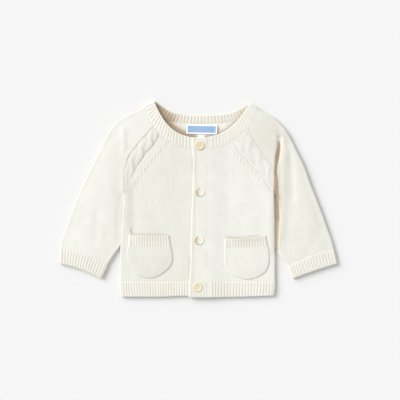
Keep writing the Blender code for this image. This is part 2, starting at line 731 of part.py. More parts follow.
def hem_front(name, sides, side, centre_x):
    """A front's ribbed hem. It turns down at the side seam."""
    outer, inner = [], []
    for share, high_share in ((0.0, 0.3), (0.1, 1.0), (0.92, 1.0), (1.0, 0.55)):
        edge = spline(sides, SIDE_HEM_ROW * (1 - share))
        y_seam = HEM_SEAM_Y - SEAM / 2
        level = upper_level(edge[0] - side * 3.0, edge[1])
        radius = (level + WALL) / 2
        quarter = radius * math.pi / 2
        centre = centre_x(y_seam + (HEM_EDGE_Y - y_seam) * share)
        length = quarter + abs(edge[0] - side * radius - centre)
        ribs = round(abs(centre_x(y_seam) - sides[SIDE_HEM_ROW][0]) / RIB_PITCH)

        def point(at, h):
            off, height = turned_edge(at * length, level, h, radius)
            x = edge[0] - side * off
            y = y_seam + (hem_y(x) - y_seam) * share
            if at * length >= quarter:
                height = upper_level(x, y) + h
            return (x, y, max(height, radius + SEAM / 2))

        # the last rib lies at the button band and is flat
        columns = [(at, high * (at < 1 - 1 / ribs)) for at, high in rib_columns(ribs)]
        outer.append([point(at, WALL + RIB * high * high_share) for at, high in columns])
        inner.append([point(columns[k][0], 0.0) for k, _ in every_rib(ribs, 3)])
    return wall(name, outer, inner, every_rib(ribs, 3))


def lower_row(left_edge, right_edge, plan_y, h, level):
    """Points of the lower layer from one side seam to the other, turned up at both."""
    radius = (level + WALL) / 2
    points = []
    quarter = radius * math.pi / 2
    for run in (0.0, quarter / 3, quarter * 2 / 3):
        off, height = turned_edge(run, level, h, radius)
        points.append((left_edge + off, min(level + WALL - height, radius - SEAM / 2)))
    for share in np.linspace(0, 1, 25):
        x = left_edge + radius + (right_edge - left_edge - 2 * radius) * share
        points.append((x, WALL - h))
    for run in (quarter * 2 / 3, quarter / 3, 0.0):
        off, height = turned_edge(run, level, h, radius)
        points.append((right_edge - off, min(level + WALL - height, radius - SEAM / 2)))
    return [(x, plan_y(x), z) for x, z in points]


def back():
    """The back, from the hem seam up to the back raglans and the neckband."""
    right = [row[6:8] for row in RAGLAN_RIGHT]
    left = [row[6:8] for row in RAGLAN_LEFT]
    low_left, low_right = SIDE_RIGHT[SIDE_HEM_ROW][0], SIDE_LEFT[SIDE_HEM_ROW][0]

    def top_boundary(share):
        """Round the upper edge from the right underarm to the left one."""
        if share < 0.22:
            t = share / 0.22 * (len(right) - 1.03)
            return beside(lambda q: spline(right, q), t, -SEAM)
        if share > 0.78:
            t = (1 - share) / 0.22 * (len(left) - 1.03)
            return beside(lambda q: spline(left, q), t, SEAM)
        t = NECK_BACK_RIGHT + (NECK_BACK_LEFT - NECK_BACK_RIGHT) * (share - 0.22) / 0.56
        t = min(max(t, NECK_BACK_RIGHT + 0.05), NECK_BACK_LEFT - 0.05)
        return beside(neck_seam, t, -SEAM)

    columns = [0.0, 0.04, 0.08, 0.12, 0.16, 0.2, 0.23, *np.linspace(0.27, 0.73, 13)]
    columns += [0.77, 0.8, 0.84, 0.88, 0.92, 0.96, 1.0]
    outer, inner = [], []
    for v in (0.0, 0.14, 0.3, 0.47, 0.64, 0.8, 0.92, 1.0):
        first = spline(SIDE_RIGHT, SIDE_HEM_ROW + v * (len(SIDE_RIGHT) - 1 - SIDE_HEM_ROW))
        final = spline(SIDE_LEFT, SIDE_HEM_ROW + v * (len(SIDE_LEFT) - 1 - SIDE_HEM_ROW))
        level = LAYER
        radius = (level + WALL) / 2
        turn = 1 - 0.75 * smooth((v - 0.9) / 0.1)
        for h, grid in ((WALL, outer), (0.0, inner)):
            line = []
            for run in (0.0, radius * math.pi / 6, radius * math.pi / 3):
                off, height = turned_edge(run, level, h, radius, turn)
                height = min(level + WALL - height, radius - SEAM / 2)
                line.append((first[0] + off, first[1] + SEAM / 2 * (1 - v), height))
            for share in columns:
                x_low = low_left + radius + (low_right - low_left - 2 * radius) * share
                low = np.array((x_low, HEM_SEAM_Y + SEAM / 2))
                x, y = low + (top_boundary(share) - low) * v
                if share < 0.5:
                    bulge = first[0] - (low_left + (SIDE_RIGHT[-1][0] - low_left) * v)
                    x += bulge * (1 - share) ** 6
                else:
                    bulge = final[0] - (low_right + (SIDE_LEFT[-1][0] - low_right) * v)
                    x += bulge * share**6
                line.append((x, y, WALL - h))
            for run in (radius * math.pi / 3, radius * math.pi / 6, 0.0):
                off, height = turned_edge(run, level, h, radius, turn)
                height = min(level + WALL - height, radius - SEAM / 2)
                line.append((final[0] - off, final[1] + SEAM / 2 * (1 - v), height))
            grid.append(line)
    return wall("back", outer, inner)


def hem_back():
    outer, inner = [], []
    for share in (0.0, 0.5, 1.0):
        left_x = spline(SIDE_RIGHT, SIDE_HEM_ROW * (1 - share))[0]
        right_x = spline(SIDE_LEFT, SIDE_HEM_ROW * (1 - share))[0]
        seam_y = HEM_SEAM_Y - SEAM / 2

        def plan_y(x):
            return seam_y + (max(hem_y(x), HEM_EDGE_Y + RIGHT_HEM_RISE[1]) - seam_y) * share

        for h, grid in ((WALL, outer), (0.0, inner)):
            grid.append(lower_row(left_x, right_x, plan_y, h, LAYER))
    return wall("hem_back", outer, inner)


# ------------------------------------------------------------------ bands, pockets and trim


def strip_between(name, ys, left_x, right_x, level, roundings):
    """A band along Y. roundings are (place across, share of the wall's thickness)."""
    outer, inner = [], []
    for y in ys:
        x0, x1 = left_x(y), right_x(y)
        spots = [(x0 + (x1 - x0) * at, full) for at, full in roundings]
        outer.append([(x, y, level(x, y) + WALL * full) for x, full in spots])
        inner.append([(x, y, level(x, y)) for x, _ in spots])
    return wall(name, outer, inner)


def button_bands():
    ys = np.linspace(HEM_EDGE_Y, BAND_EDGE[0][1], 25)
    rounded = ((0.0, 0.55), (0.05, 0.85), (0.15, 1.08), (0.5, 1.0), (0.9, 1.0), (1.0, 0.85))
    strip_between(
        "band_left", ys, band_edge_x, lambda y: BUTTON_BAND_X - SEAM / 2, band_level, rounded
    )
    under_ys = np.linspace(HEM_EDGE_Y + 0.6, BAND_EDGE[0][1] - 0.5, 15)
    strip_between(
        "band_right",
        under_ys,
        lambda y: right_centre_x(y) + 2 * SEAM,
        lambda y: BUTTON_BAND_X - 1.2,
        upper_level,
        ((0.0, 1.0), (0.5, 1.0), (1.0, 1.0)),
    )


def pocket(name, rows, puff=0.7):
    """A patch pocket with a round bottom, on the front's outer side."""
    outer, inner = [], []
    last = len(rows) - 1
    edges = (0.0, 0.03, 0.1, 0.22, 0.36, 0.5, 0.64, 0.78, 0.9, 0.97, 1.0)
    for t in (0.0, 0.5, 1, 1.5, 2, 2.5, 3, 3.5, 4, 4.4, 4.75, last):
        x0, y0, x1, y1 = spline(rows, t)
        outer_row, inner_row = [], []
        for at in edges:
            x, y = x0 + (x1 - x0) * at, y0 + (y1 - y0) * at
            inside = min(at, 1 - at) / 0.1 if t < last - 1 else min(at, 1 - at) / 0.3
            inside = min(inside, (last - t) / 0.6 + 0.3)
            base = upper_level(x, y) + WALL + REST
            belly = puff * math.sin(math.pi * at) * math.sin(math.pi * min(t / last + 0.15, 1))
            full = 0.6 + 0.4 * smooth(inside)
            outer_row.append((x, y, base + belly + WALL * full))
            inner_row.append((x, y, base + belly * 0.6))
        outer.append(outer_row)
        inner.append(inner_row[::2])
    return wall(name, outer, inner, [(2 * k, k) for k in range(6)])


def pocket_rib(name, rows):
    """The ribbed top of a pocket, which gapes a little at the opening."""
    outer, inner = [], []
    columns = rib_columns(POCKET_RIBS, 0.02, 0.98)
    columns = [(0.0, 0.0), *columns, (1.0, 0.0)]
    pairs = [(0, 0), *[(a + 1, b + 1) for a, b in every_rib(POCKET_RIBS, 3)]]
    pairs.append((len(columns) - 1, len(pairs)))
    top, low = np.array(rows[0]), np.array(rows[1])
    for share, high_share in ((0.0, 0.5), (0.12, 1.0), (0.88, 1.0), (1.0, 0.4)):
        x0, y0, x1, y1, sag, gape = top * (1 - share) + low * share

        def point(at, h):
            x = x0 + (x1 - x0) * at
            bowed = 4 * at * (1 - at)
            y = y0 + (y1 - y0) * at - sag * bowed
            level = upper_level(x, y) + WALL + REST + gape * bowed * (1 - share)
            edge = 0.62 + 0.38 * smooth(min(at, 1 - at) / 0.03)
            return (x, y, level + h * edge)

        outer.append([point(at, WALL + RIB * high * high_share) for at, high in columns])
        inner.append([point(columns[k][0], 0.0) for k, _ in pairs])
    return wall(name, outer, inner, pairs)


def label():
    """The woven label, on the inside of the back. Its four sides follow the tilt."""
    outer, inner = [], []
    turn = np.array(
        (
            (math.cos(LABEL_TILT), -math.sin(LABEL_TILT)),
            (math.sin(LABEL_TILT), math.cos(LABEL_TILT)),
        )
    )
    for v in (-0.5, 0.5):
        rows = ([], [])
        for u in (-0.5, 0.5):
            x, y = turn @ (u * LABEL_W, v * LABEL_H) + LABEL_AT
            rows[0].append((x, y, WALL + LABEL_REST + LABEL_T))
            rows[1].append((x, y, WALL + LABEL_REST))
        outer.append(rows[0])
        inner.append(rows[1])
    return wall("label", outer, inner, colour=LABEL_BLUE)


def size_tab():
    """The small tab below the label. Its lower end lies under the front neckband."""
    outer, inner = [], []
    for y in (TAB_END, TAB_TOP):
        xs = (TAB_X - TAB_W / 2, TAB_X + TAB_W / 2)
        outer.append([(x, y, WALL + LABEL_REST + LABEL_T) for x in xs])
        inner.append([(x, y, WALL + LABEL_REST) for x in xs])
    return wall("size_tab", outer, inner, colour=WHITE)


def buttons():
    """Four sew-through buttons with a raised rim and four holes each."""
    radius = BUTTON_D / 2
    # radius and height of the turned profile, from the middle of the top round to the bottom
    profile = (
        (0.0, 0.62 * BUTTON_H),
        (0.50 * radius, 0.62 * BUTTON_H),
        (0.68 * radius, 0.98 * BUTTON_H),
        (0.86 * radius, 1.00 * BUTTON_H),
        (1.00 * radius, 0.62 * BUTTON_H),
        (0.96 * radius, 0.25 * BUTTON_H),
        (0.76 * radius, 0.0),
        (0.0, 0.0),
    )
    bm = bmesh.new()
    verts = [bm.verts.new((r * MM, 0, z * MM)) for r, z in profile]
    edges = [bm.edges.new(pair) for pair in zip(verts, verts[1:])]
    bmesh.ops.spin(
        bm, geom=[*verts, *edges], cent=(0, 0, 0), axis=(0, 0, 1), angle=2 * math.pi,
        steps=18, use_merge=True, use_duplicate=False,
    )
    bmesh.ops.remove_doubles(bm, verts=bm.verts, dist=0.00001)
    first = add_object("button_1", bm, PEARL, roughness=0.25)
    holes = bmesh.new()
    for sx in (-0.5, 0.5):
        for sy in (-0.5, 0.5):
            made = bmesh.ops.create_cone(
                holes, cap_ends=True, segments=8, radius1=HOLE_D / 2 * MM,
                radius2=HOLE_D / 2 * MM, depth=BUTTON_H * 4 * MM,
            )
            shift = (sx * HOLE_STEP * MM, sy * HOLE_STEP * MM, 0)
            bmesh.ops.translate(holes, verts=made["verts"], vec=shift)
    drill_mesh = bpy.data.meshes.new("button_drill")
    holes.to_mesh(drill_mesh)
    holes.free()
    for i, (x, y) in enumerate(BUTTON_PLACES):
        made = first
        if i:
            made = bpy.data.objects.new(f"button_{i + 1}", first.data)
            bpy.context.scene.collection.objects.link(made)
        top = max(band_level(x + dx, y + dy) for dx in (-5, 5) for dy in (-6, 0, 6))
        made.location = (x * MM, y * MM, (top + WALL * 1.08 + SEAM) * MM)
        drill = bpy.data.objects.new(f"button_drill_{i + 1}", drill_mesh)
        bpy.context.scene.collection.objects.link(drill)
        drill.parent = made
        drill.hide_render = True
        drill.display_type = "WIRE"
        cut = made.modifiers.new("holes", "BOOLEAN")
        cut.operation = "DIFFERENCE"
        cut.object = drill


def main():
    for old in list(bpy.data.objects):
        bpy.data.objects.remove(old, do_unlink=True)
    back()
    hem_back()
    front("front_right", SIDE_RIGHT, RAGLAN_RIGHT, -1, NECK_RIGHT_STRIP, NECK_RIGHT_END, right_centre_x)
    front("front_left", SIDE_LEFT, RAGLAN_LEFT, 1, NECK_LEFT_STRIP, NECK_LEFT_END, left_centre_x)
    hem_front("hem_right", SIDE_RIGHT, -1, right_centre_x)
    hem_front("hem_left", SIDE_LEFT, 1, left_centre_x)
    raglan_strip("raglan_right", RAGLAN_RIGHT, -1, NECK_RIGHT_RAGLAN, NECK_RIGHT_STRIP)
    raglan_strip("raglan_left", RAGLAN_LEFT, 1, NECK_LEFT_RAGLAN, NECK_LEFT_STRIP)
    sleeve("sleeve_right", SLEEVE_RIGHT, RAGLAN_RIGHT, lipped=False)
    sleeve("sleeve_left", SLEEVE_LEFT, RAGLAN_LEFT, lipped=True)
    cuff("cuff_right", SLEEVE_RIGHT[0], CUFF_EDGE_RIGHT, CUFF_RIBS_RIGHT)
    cuff("cuff_left", SLEEVE_LEFT[0], CUFF_EDGE_LEFT, CUFF_RIBS_LEFT)
    neckband()
    button_bands()
    pocket("pocket_right", POCKET_RIGHT)
    pocket("pocket_left", POCKET_LEFT)
    pocket_rib("pocket_rib_right", POCKET_RIB_RIGHT)
    pocket_rib("pocket_rib_left", POCKET_RIB_LEFT)
    label()
    size_tab()
    buttons()


main()
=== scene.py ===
# %% [markdown]
# # A baby cardigan in fine cream knit
#
# The cardigan lies flat and buttoned up on a pale table, seen from straight above. A plain solid
# model of it exists already, with one solid for each knitted piece. This lesson dresses that model:
# each solid is replaced by a thin shell of cloth with real ribs, cables and seams, and each shell
# gets a knitted finish. Right and left are the wearer's, so the right sleeve is at -X.

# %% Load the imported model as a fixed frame
import json
import math
import random

import bmesh
import bpy
import mathutils
import numpy as np
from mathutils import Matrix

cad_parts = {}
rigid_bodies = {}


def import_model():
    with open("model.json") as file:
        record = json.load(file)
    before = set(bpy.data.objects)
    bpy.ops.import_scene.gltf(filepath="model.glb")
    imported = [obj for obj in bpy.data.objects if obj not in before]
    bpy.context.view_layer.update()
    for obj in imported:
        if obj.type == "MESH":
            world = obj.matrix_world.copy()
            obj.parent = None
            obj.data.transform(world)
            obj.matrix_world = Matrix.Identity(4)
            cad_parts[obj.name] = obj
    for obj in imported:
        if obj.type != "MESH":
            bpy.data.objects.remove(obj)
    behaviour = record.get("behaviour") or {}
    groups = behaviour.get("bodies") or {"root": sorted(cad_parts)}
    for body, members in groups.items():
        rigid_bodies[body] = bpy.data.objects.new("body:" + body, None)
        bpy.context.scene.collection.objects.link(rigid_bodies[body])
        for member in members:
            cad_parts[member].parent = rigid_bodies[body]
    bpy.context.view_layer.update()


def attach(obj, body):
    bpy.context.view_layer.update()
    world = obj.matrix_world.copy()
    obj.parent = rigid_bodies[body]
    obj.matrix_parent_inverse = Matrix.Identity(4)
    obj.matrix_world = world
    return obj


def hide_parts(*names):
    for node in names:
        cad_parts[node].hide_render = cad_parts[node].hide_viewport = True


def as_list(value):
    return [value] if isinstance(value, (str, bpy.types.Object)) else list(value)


for old in list(bpy.data.objects):
    bpy.data.objects.remove(old, do_unlink=True)
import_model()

# %% [markdown]
# ## The sizes of the garment
#
# A knitter works from a schematic: a drawing with the place of each seam. The tables below are
# that drawing, in millimetres. They repeat the solid model's own tables, because each shell has to
# lie where its solid is. A smooth curve through a few rows is easier to correct than hundreds of
# points, and it can be sampled as finely as a piece needs.

# %% Thicknesses and gaps
MM = 0.001
WALL = 2.0  # the plain knit
SEAM = 0.03  # gap between two pieces at a seam
REST = 0.5  # gap between two layers that lie on each other
LAYER = 3.2  # inner side of the upper layer above the table
RIB = 0.56  # how far a rib stands out
RIB_PITCH = 4.4
RIGHT_RIB_PITCH = 3.95  # on the right front's hem, which is drawn in more
NECK_RIB_PITCH = 5.1
WALE = 2.2  # width of one column of stitches
COURSE = 1.65  # height of one row of stitches
HEM_SEAM_Y = -122.8
HEM_EDGE_Y = -147.6
RIGHT_HEM_RISE = (0.9, 2.2)  # the right hem ends higher, at its side and at the bands
BUTTON_BAND_X = 12.8  # the seam between the left front and the upper band
BUTTONHOLE_LAP = 1.8  # how far the right front reaches in under the upper band
NECK_CENTRE_Y = 74.0

# %% The neckband, from its right front end round the back to its left front end
# free x, free y, seam x, seam y, lift of the free edge
NECK_FRONT_RIGHT = (
    (-7.4, 92.0, -7.4, 73.4, 0.8),
    (-23.7, 96.4, -23.3, 77.4, 1.6),
    (-37.5, 104.0, -39.3, 83.9, 2.4),
    (-49.5, 116.0, -55.5, 96.5, 2.8),
    (-57.5, 128.4, -67.8, 110.3, 2.6),
    (-62.3, 137.7, -76.2, 124.2, 1.8),
)
NECK_FOLD_RIGHT = (-66.5, 147.5, -81.0, 141.2, 0.8)
NECK_BACK = (
    (-55.8, 139.4, -67.2, 127.1, 0.0),
    (-45.8, 132.9, -53.5, 120.6, 0.0),
    (-32.3, 128.7, -37.5, 115.7, 0.0),
    (-15.8, 126.5, -18.0, 113.4, 0.0),
    (2.3, 125.7, 2.3, 112.9, 0.0),
    (21.8, 126.3, 23.3, 113.4, 0.0),
    (40.5, 128.1, 44.3, 115.2, 0.0),
    (57.0, 132.9, 62.3, 119.7, 0.0),
    (68.3, 139.2, 75.0, 126.2, 0.0),
)
NECK_FOLD_LEFT = (77.0, 143.6, 89.9, 136.4, 0.8)
NECK_FRONT_LEFT = (
    (71.7, 136.2, 83.9, 121.0, 0.5),
    (65.7, 126.6, 74.6, 107.8, 0.2),
    (56.5, 116.0, 63.0, 96.5, 0.0),
    (43.8, 105.2, 50.3, 87.2, 0.0),
    (29.3, 97.1, 30.8, 77.0, 0.2),
    (13.0, 92.9, 13.0, 74.0, 0.6),
)
# rows of that list, counted from its start, where other pieces meet the neckband
NECK_RIGHT_END, NECK_RIGHT_STRIP, NECK_RIGHT_RAGLAN = 0.0, 2.4, 4.0
NECK_BACK_RIGHT, NECK_BACK_LEFT = 7.0, 15.0
NECK_LEFT_RAGLAN, NECK_LEFT_STRIP, NECK_LEFT_END = 18.0, 20.47, 22.0

# %% The raglans, from the underarm up to the neckband
# seam x, y, far side of the cable's strip x, y, fold of the sleeve x, y, back raglan x, y
RAGLAN_RIGHT = (
    (-112.0, 12.2, -108.0, 9.2, -174.0, 22.7, -112.0, 12.2),
    (-112.7, 30.2, -101.3, 18.2, -165.0, 41.5, -112.5, 30.2),
    (-110.3, 49.7, -89.0, 35.0, -156.3, 58.7, -109.5, 49.7),
    (-104.0, 67.0, -75.6, 53.0, -147.5, 76.0, -103.0, 67.5),
    (-89.7, 85.6, -62.5, 69.2, -136.5, 98.5, -91.0, 87.0),
    (-78.0, 98.0, -53.5, 80.0, -120.8, 118.0, -79.5, 106.0),
    (-67.8, 110.3, -45.8, 88.1, -81.0, 141.2, -67.2, 127.1),
)
RAGLAN_LEFT = (
    (114.3, 13.7, 109.5, 9.2, 168.8, 22.7, 114.3, 13.7),
    (114.2, 31.0, 101.5, 18.3, 162.8, 40.0, 114.2, 31.0),
    (111.5, 47.3, 91.5, 30.3, 156.0, 56.5, 111.5, 48.0),
    (103.5, 59.3, 80.3, 43.1, 148.5, 71.5, 104.5, 61.5),
    (93.5, 73.0, 68.5, 55.0, 140.3, 88.7, 95.5, 77.0),
    (84.0, 86.5, 57.5, 65.3, 129.6, 106.0, 87.5, 93.0),
    (77.5, 97.5, 49.0, 74.2, 113.3, 122.5, 81.5, 108.0),
    (74.6, 107.8, 41.3, 81.9, 89.9, 136.4, 75.0, 126.2),
)

# %% The sleeves below the underarm, from the cuff up
# seam x, y, seam underneath x, y, fold x, y, bow of the section
SLEEVE_RIGHT = (
    (-135.6, -97.8, -135.6, -97.8, -208.6, -73.0, 3.0),
    (-126.8, -83.5, -126.8, -83.5, -206.9, -62.5, 2.4),
    (-118.3, -68.8, -118.3, -68.8, -202.0, -49.3, 1.5),
    (-116.7, -43.3, -116.7, -43.3, -193.5, -25.3, 0.5),
    (-115.3, -16.3, -115.3, -16.3, -183.8, 0.2, 0.0),
)
SLEEVE_LEFT = (
    (134.6, -99.8, 134.6, -99.8, 203.7, -74.4, 3.0),
    (125.0, -88.0, 123.6, -87.4, 200.6, -62.5, 2.4),
    (119.6, -74.0, 115.6, -74.0, 195.8, -48.5, 1.5),
    (121.0, -47.8, 115.2, -47.8, 187.4, -24.6, 0.5),
    (121.3, -17.8, 115.0, -17.8, 177.8, 0.2, 0.0),
)
CUFF_EDGE_RIGHT = (-145.9, -119.9, -145.9, -119.9, -208.8, -97.0, 3.0)
CUFF_EDGE_LEFT = (141.5, -119.4, 141.5, -119.4, 209.1, -96.6, 0.8)
CUFF_RIBS_RIGHT, CUFF_RIBS_LEFT = 18, 17
NECK_BOW = -2.1  # of a sleeve's section at the neckband

# %% The side seams and the free edge of the upper button band
SIDE_RIGHT = (
    (-116.6, -146.2),
    (-118.2, -134.0),
    (-118.4, -122.8),
    (-118.2, -94.3),
    (-117.4, -68.8),
    (-114.8, -19.3),
    (-112.0, 12.1),
)
SIDE_LEFT = (
    (113.6, -144.6),
    (115.0, -134.0),
    (115.4, -122.8),
    (115.4, -94.3),
    (115.0, -56.8),
    (114.9, -19.3),
    (114.2, 13.6),
)
BAND_EDGE = (
    (-9.5, 92.5),
    (-9.6, 73.7),
    (-8.3, 53.0),
    (-9.0, 18.2),
    (-10.6, -19.3),
    (-11.8, -56.8),
    (-12.6, -92.0),
    (-13.8, -122.8),
    (-14.5, -147.6),
)

# %% The pockets and their ribbed tops
# left x, left y, right x, right y, from the rib down
POCKET_RIGHT = (
    (-106.8, -72.9, -40.8, -72.3),
    (-108.2, -83.8, -38.7, -84.6),
    (-105.8, -94.3, -39.2, -95.5),
    (-99.5, -104.8, -45.6, -104.8),
    (-90.8, -114.3, -57.0, -113.8),
    (-78.0, -118.8, -67.5, -118.2),
)
POCKET_LEFT = (
    (38.3, -72.9, 105.2, -72.6),
    (38.0, -85.3, 106.4, -85.3),
    (38.7, -97.3, 105.8, -96.9),
    (44.3, -107.8, 101.3, -108.3),
    (54.0, -115.8, 90.0, -116.5),
    (67.5, -120.3, 78.5, -120.6),
)
# the opening and the seam with the pocket: left end, right end, sag, gape
POCKET_RIB_RIGHT = (
    (-105.3, -54.3, -43.4, -54.3, 0.8, 1.6),
    (-106.2, -72.9, -41.2, -72.3, 0.0, 0.0),
)
POCKET_RIB_LEFT = (
    (38.4, -59.6, 101.2, -55.2, 1.6, 2.4),
    (38.3, -72.9, 104.9, -72.6, 0.0, 0.0),
)
POCKET_RIBS = 15
POCKET_WALL = 0.95  # a pocket's cloth is pressed thin
BUTTON_PLACES = ((1.8, 80.8), (2.1, 10.7), (0.8, -61.6), (-1.0, -132.0))

# %% [markdown]
# ## Curves and steps
#
# A Catmull-Rom curve goes through every row of a table and keeps a smooth direction, so it suits a
# traced seam better than a Bezier curve, whose handles would have to be set one by one. It works on
# whole arrays here, because a shell has tens of thousands of points.


# %% Curves through the tables
def curve(rows, t):
    """The rows at the places t on a smooth curve through the rows of a table."""
    rows, t = np.asarray(rows, float), np.asarray(t, float)
    rows = np.vstack([2 * rows[0] - rows[1], rows, 2 * rows[-1] - rows[-2]])
    i = np.clip(np.floor(t), 0, len(rows) - 4).astype(int)
    s = (t - i)[..., None]
    a, b, c, d = (rows[i + k] for k in range(4))
    bend = 2 * a - 5 * b + 4 * c - d
    return 0.5 * (2 * b + (c - a) * s + bend * s**2 + (3 * b - a - 3 * c + d) * s**3)


def soft(t):
    """0 below 0, 1 above 1 and an even S between them."""
    t = np.clip(t, 0.0, 1.0)
    return t * t * (3 - 2 * t)


def sampled(rows, count):
    """Evenly spaced rows on the whole curve through the rows of a table."""
    return curve(rows, np.linspace(0, len(rows) - 1, count))


def points_at(*parts):
    """Points from their coordinates, each of which is a number or an array."""
    return np.stack(np.broadcast_arrays(*parts), -1)


def unit(v):
    """Vectors of length 1 in the same directions."""
    return v / np.linalg.norm(v, axis=-1, keepdims=True)


def beside(path, t, distance):
    """Points `distance` to the left of a path in plan, looking along it."""
    along = unit(path(t + 0.01) - path(t - 0.01))
    return path(t) + distance * points_at(-along[..., 1], along[..., 0])


def distance_along(path):
    """How far each point of a path is from the first one, along the path."""
    return np.insert(np.cumsum(np.linalg.norm(np.diff(path, axis=0), axis=1)), 0, 0)


def hump(distance, spread):
    """A smooth bump: 1 at a distance of 0, and next to nothing at twice the spread."""
    return np.exp(-((distance / spread) ** 2))


def nearest_on_line(x, y, line):
    """How far along a line (x0, y0, x1, y1) its nearest point is, as a share, and how far off."""
    x0, y0, x1, y1 = line
    ax, ay = x1 - x0, y1 - y0
    share = np.clip(((x - x0) * ax + (y - y0) * ay) / (ax * ax + ay * ay), 0, 1)
    return share, np.hypot(x - x0 - share * ax, y - y0 - share * ay)


def to_line(x, y, line):
    """Distance in plan from the points to a straight line."""
    return nearest_on_line(x, y, line)[1]


def to_outline(x, y, outline):
    """Distance in plan from the points to the nearest of an outline's points."""
    nearest = np.full(np.shape(x), 1e9)
    for px, py in outline:
        nearest = np.minimum(nearest, np.hypot(x - px, y - py))
    return nearest


AT_EDGE = (0.0, 0.1, 0.3, 0.6, 1.0, 1.6)


def stations(length, step, first=AT_EDGE):
    """Distances from 0 to length, closer at both ends, where an edge is rounded."""
    first = np.array(first)
    middle = np.linspace(first[-1], length - first[-1], max(int(round(length / step)), 2))
    return np.concatenate([first[:-1], middle, length - first[-2::-1]])


def station_shares(length, step, first=AT_EDGE):
    """The same distances as shares of the length."""
    return stations(length, step, first) / length


print("seam of the neckband, half way round:", curve(NECK_BACK, 4.0)[2:4])

# %% [markdown]
# ## How the cloth lies
#
# Cloth that is laid flat by hand isn't level. The upper layer stands a little higher over the
# neck, over the cuffs and where a sleeve is folded at the shoulder, and it has a few soft ridges
# and troughs from the way it was put down. Each one is a short line with a height and a spread.
# They are placed one by one, uneven in length and depth, because a regular noise looks like water.

# %% Height of the upper layer
# x0, y0, x1, y1, spread, rise
FOLDS = (
    (-97.0, 18.0, -98.0, -52.0, 8.0, -0.5),
    (-166.0, -72.0, -138.0, 62.0, 26.0, 1.6),
    (-152.0, -22.0, -154.0, -62.0, 7.0, -0.7),
    (-113.5, 104.0, -110.5, 66.0, 4.5, 0.7),
    (168.0, -72.0, 143.0, 62.0, 24.0, 1.6),
    (128.5, 104.0, 128.2, 62.0, 6.5, 1.3),
    (126.8, 50.0, 126.5, -52.0, 5.5, 0.9),
    (139.0, 66.0, 141.0, 2.0, 6.0, -1.1),
    (122.0, 92.0, 118.0, 56.0, 2.6, -4.0),
    # small ones, which the solid doesn't have
    (-60.0, 40.0, -48.0, -30.0, 15.0, 0.35),
    (-30.0, 58.0, -36.0, 12.0, 10.0, -0.25),
    (-82.0, -20.0, -70.0, -48.0, 9.0, 0.3),
    (-20.0, -40.0, -27.0, -112.0, 7.0, 0.3),
    (52.0, 52.0, 70.0, -8.0, 14.0, 0.35),
    (88.0, 12.0, 96.0, -46.0, 9.0, -0.35),
    (30.0, -5.0, 44.0, -48.0, 10.0, 0.3),
    (-186.0, -30.0, -176.0, 4.0, 9.0, 0.4),
    (-134.0, 20.0, -131.0, -40.0, 8.0, 0.35),
    (-140.0, -78.0, -184.0, -60.0, 6.0, 0.35),
    (-128.0, 80.0, -104.0, 108.0, 8.0, 0.4),
    (160.0, 20.0, 172.0, -34.0, 9.0, 0.35),
    (142.0, -44.0, 152.0, -84.0, 8.0, 0.4),
    (184.0, -50.0, 158.0, -88.0, 7.0, -0.35),
    (98.0, 118.0, 118.0, 96.0, 8.0, 0.35),
)
NECK_CENTRE, NECK_RADII = (2.0, 133.0), (90.0, 62.0)
NECK_RISE, NECK_SPREAD = 1.2, 0.35
CENTRE_SINK = 0.4  # the right front sinks under the upper button band
SINK_FROM, SINK_TO = -45.0, -16.0
RAMP_WIDTH = 36.0  # the left front comes down from the upper band within this


def lie(x, y):
    """Height of the upper layer's inner side, before the fronts overlap at the middle."""
    height = LAYER
    for *line, spread, rise in FOLDS:
        height = height + rise * hump(to_line(x, y, line), spread)
    (cx, cy), (rx, ry) = NECK_CENTRE, NECK_RADII
    outside = np.maximum(np.hypot((x - cx) / rx, (y - cy) / ry) - 1, 0)
    height = height + NECK_RISE * hump(outside, NECK_SPREAD)
    ripple = np.sin(x / 13.7 + 0.9 * np.sin(y / 21.0)) * np.sin(y / 17.3 + 0.7)
    return np.maximum(height + 0.1 * ripple, WALL + REST)


def upper_level(x, y):
    """Height of the fronts' inner side: the right one sinks and the left one rises at the middle."""
    low = lie(x, y)
    sunk = low - CENTRE_SINK * soft((x - SINK_FROM) / (SINK_TO - SINK_FROM))
    risen = low + (WALL + REST - CENTRE_SINK) * (1 - soft((x - BUTTON_BAND_X) / RAMP_WIDTH))
    return np.where(x < BUTTON_BAND_X - SEAM, sunk, risen)


def band_level(x, y):
    """Height of the upper button band's inner side."""
    neck_lift = NECK_FRONT_RIGHT[0][4] * soft((y - NECK_CENTRE_Y) / 18.0)
    return lie(x, y) - CENTRE_SINK + WALL + REST + neck_lift


def turned_edge(run, level, h, foot, turn=1.0):
    """Where cloth is, `run` in from an edge that bends down to the height `foot`.

    Gives the distance in plan from the edge and the height of a point h out from the cloth's
    inner side. With turn 0 the cloth stays level.
    """
    outer, inner = level + WALL - foot, level - foot
    angle = np.minimum(run / outer, math.pi / 2)
    off = turn * (outer - (inner + h) * np.cos(angle)) + (1 - turn) * run * 2 / math.pi
    height = turn * (foot + (inner + h) * np.sin(angle)) + (1 - turn) * (level + h)
    past = run >= outer * math.pi / 2
    return (
        np.where(past, outer + run - outer * math.pi / 2, off),
        np.where(past, level + h, height),
    )


for spot, x, y in (("cuff", -166.0, -70.0), ("chest", 60.0, 0.0), ("neck", -60.0, 110.0)):
    print(f"height of the upper layer at the {spot}: {lie(x, y):.2f} mm")
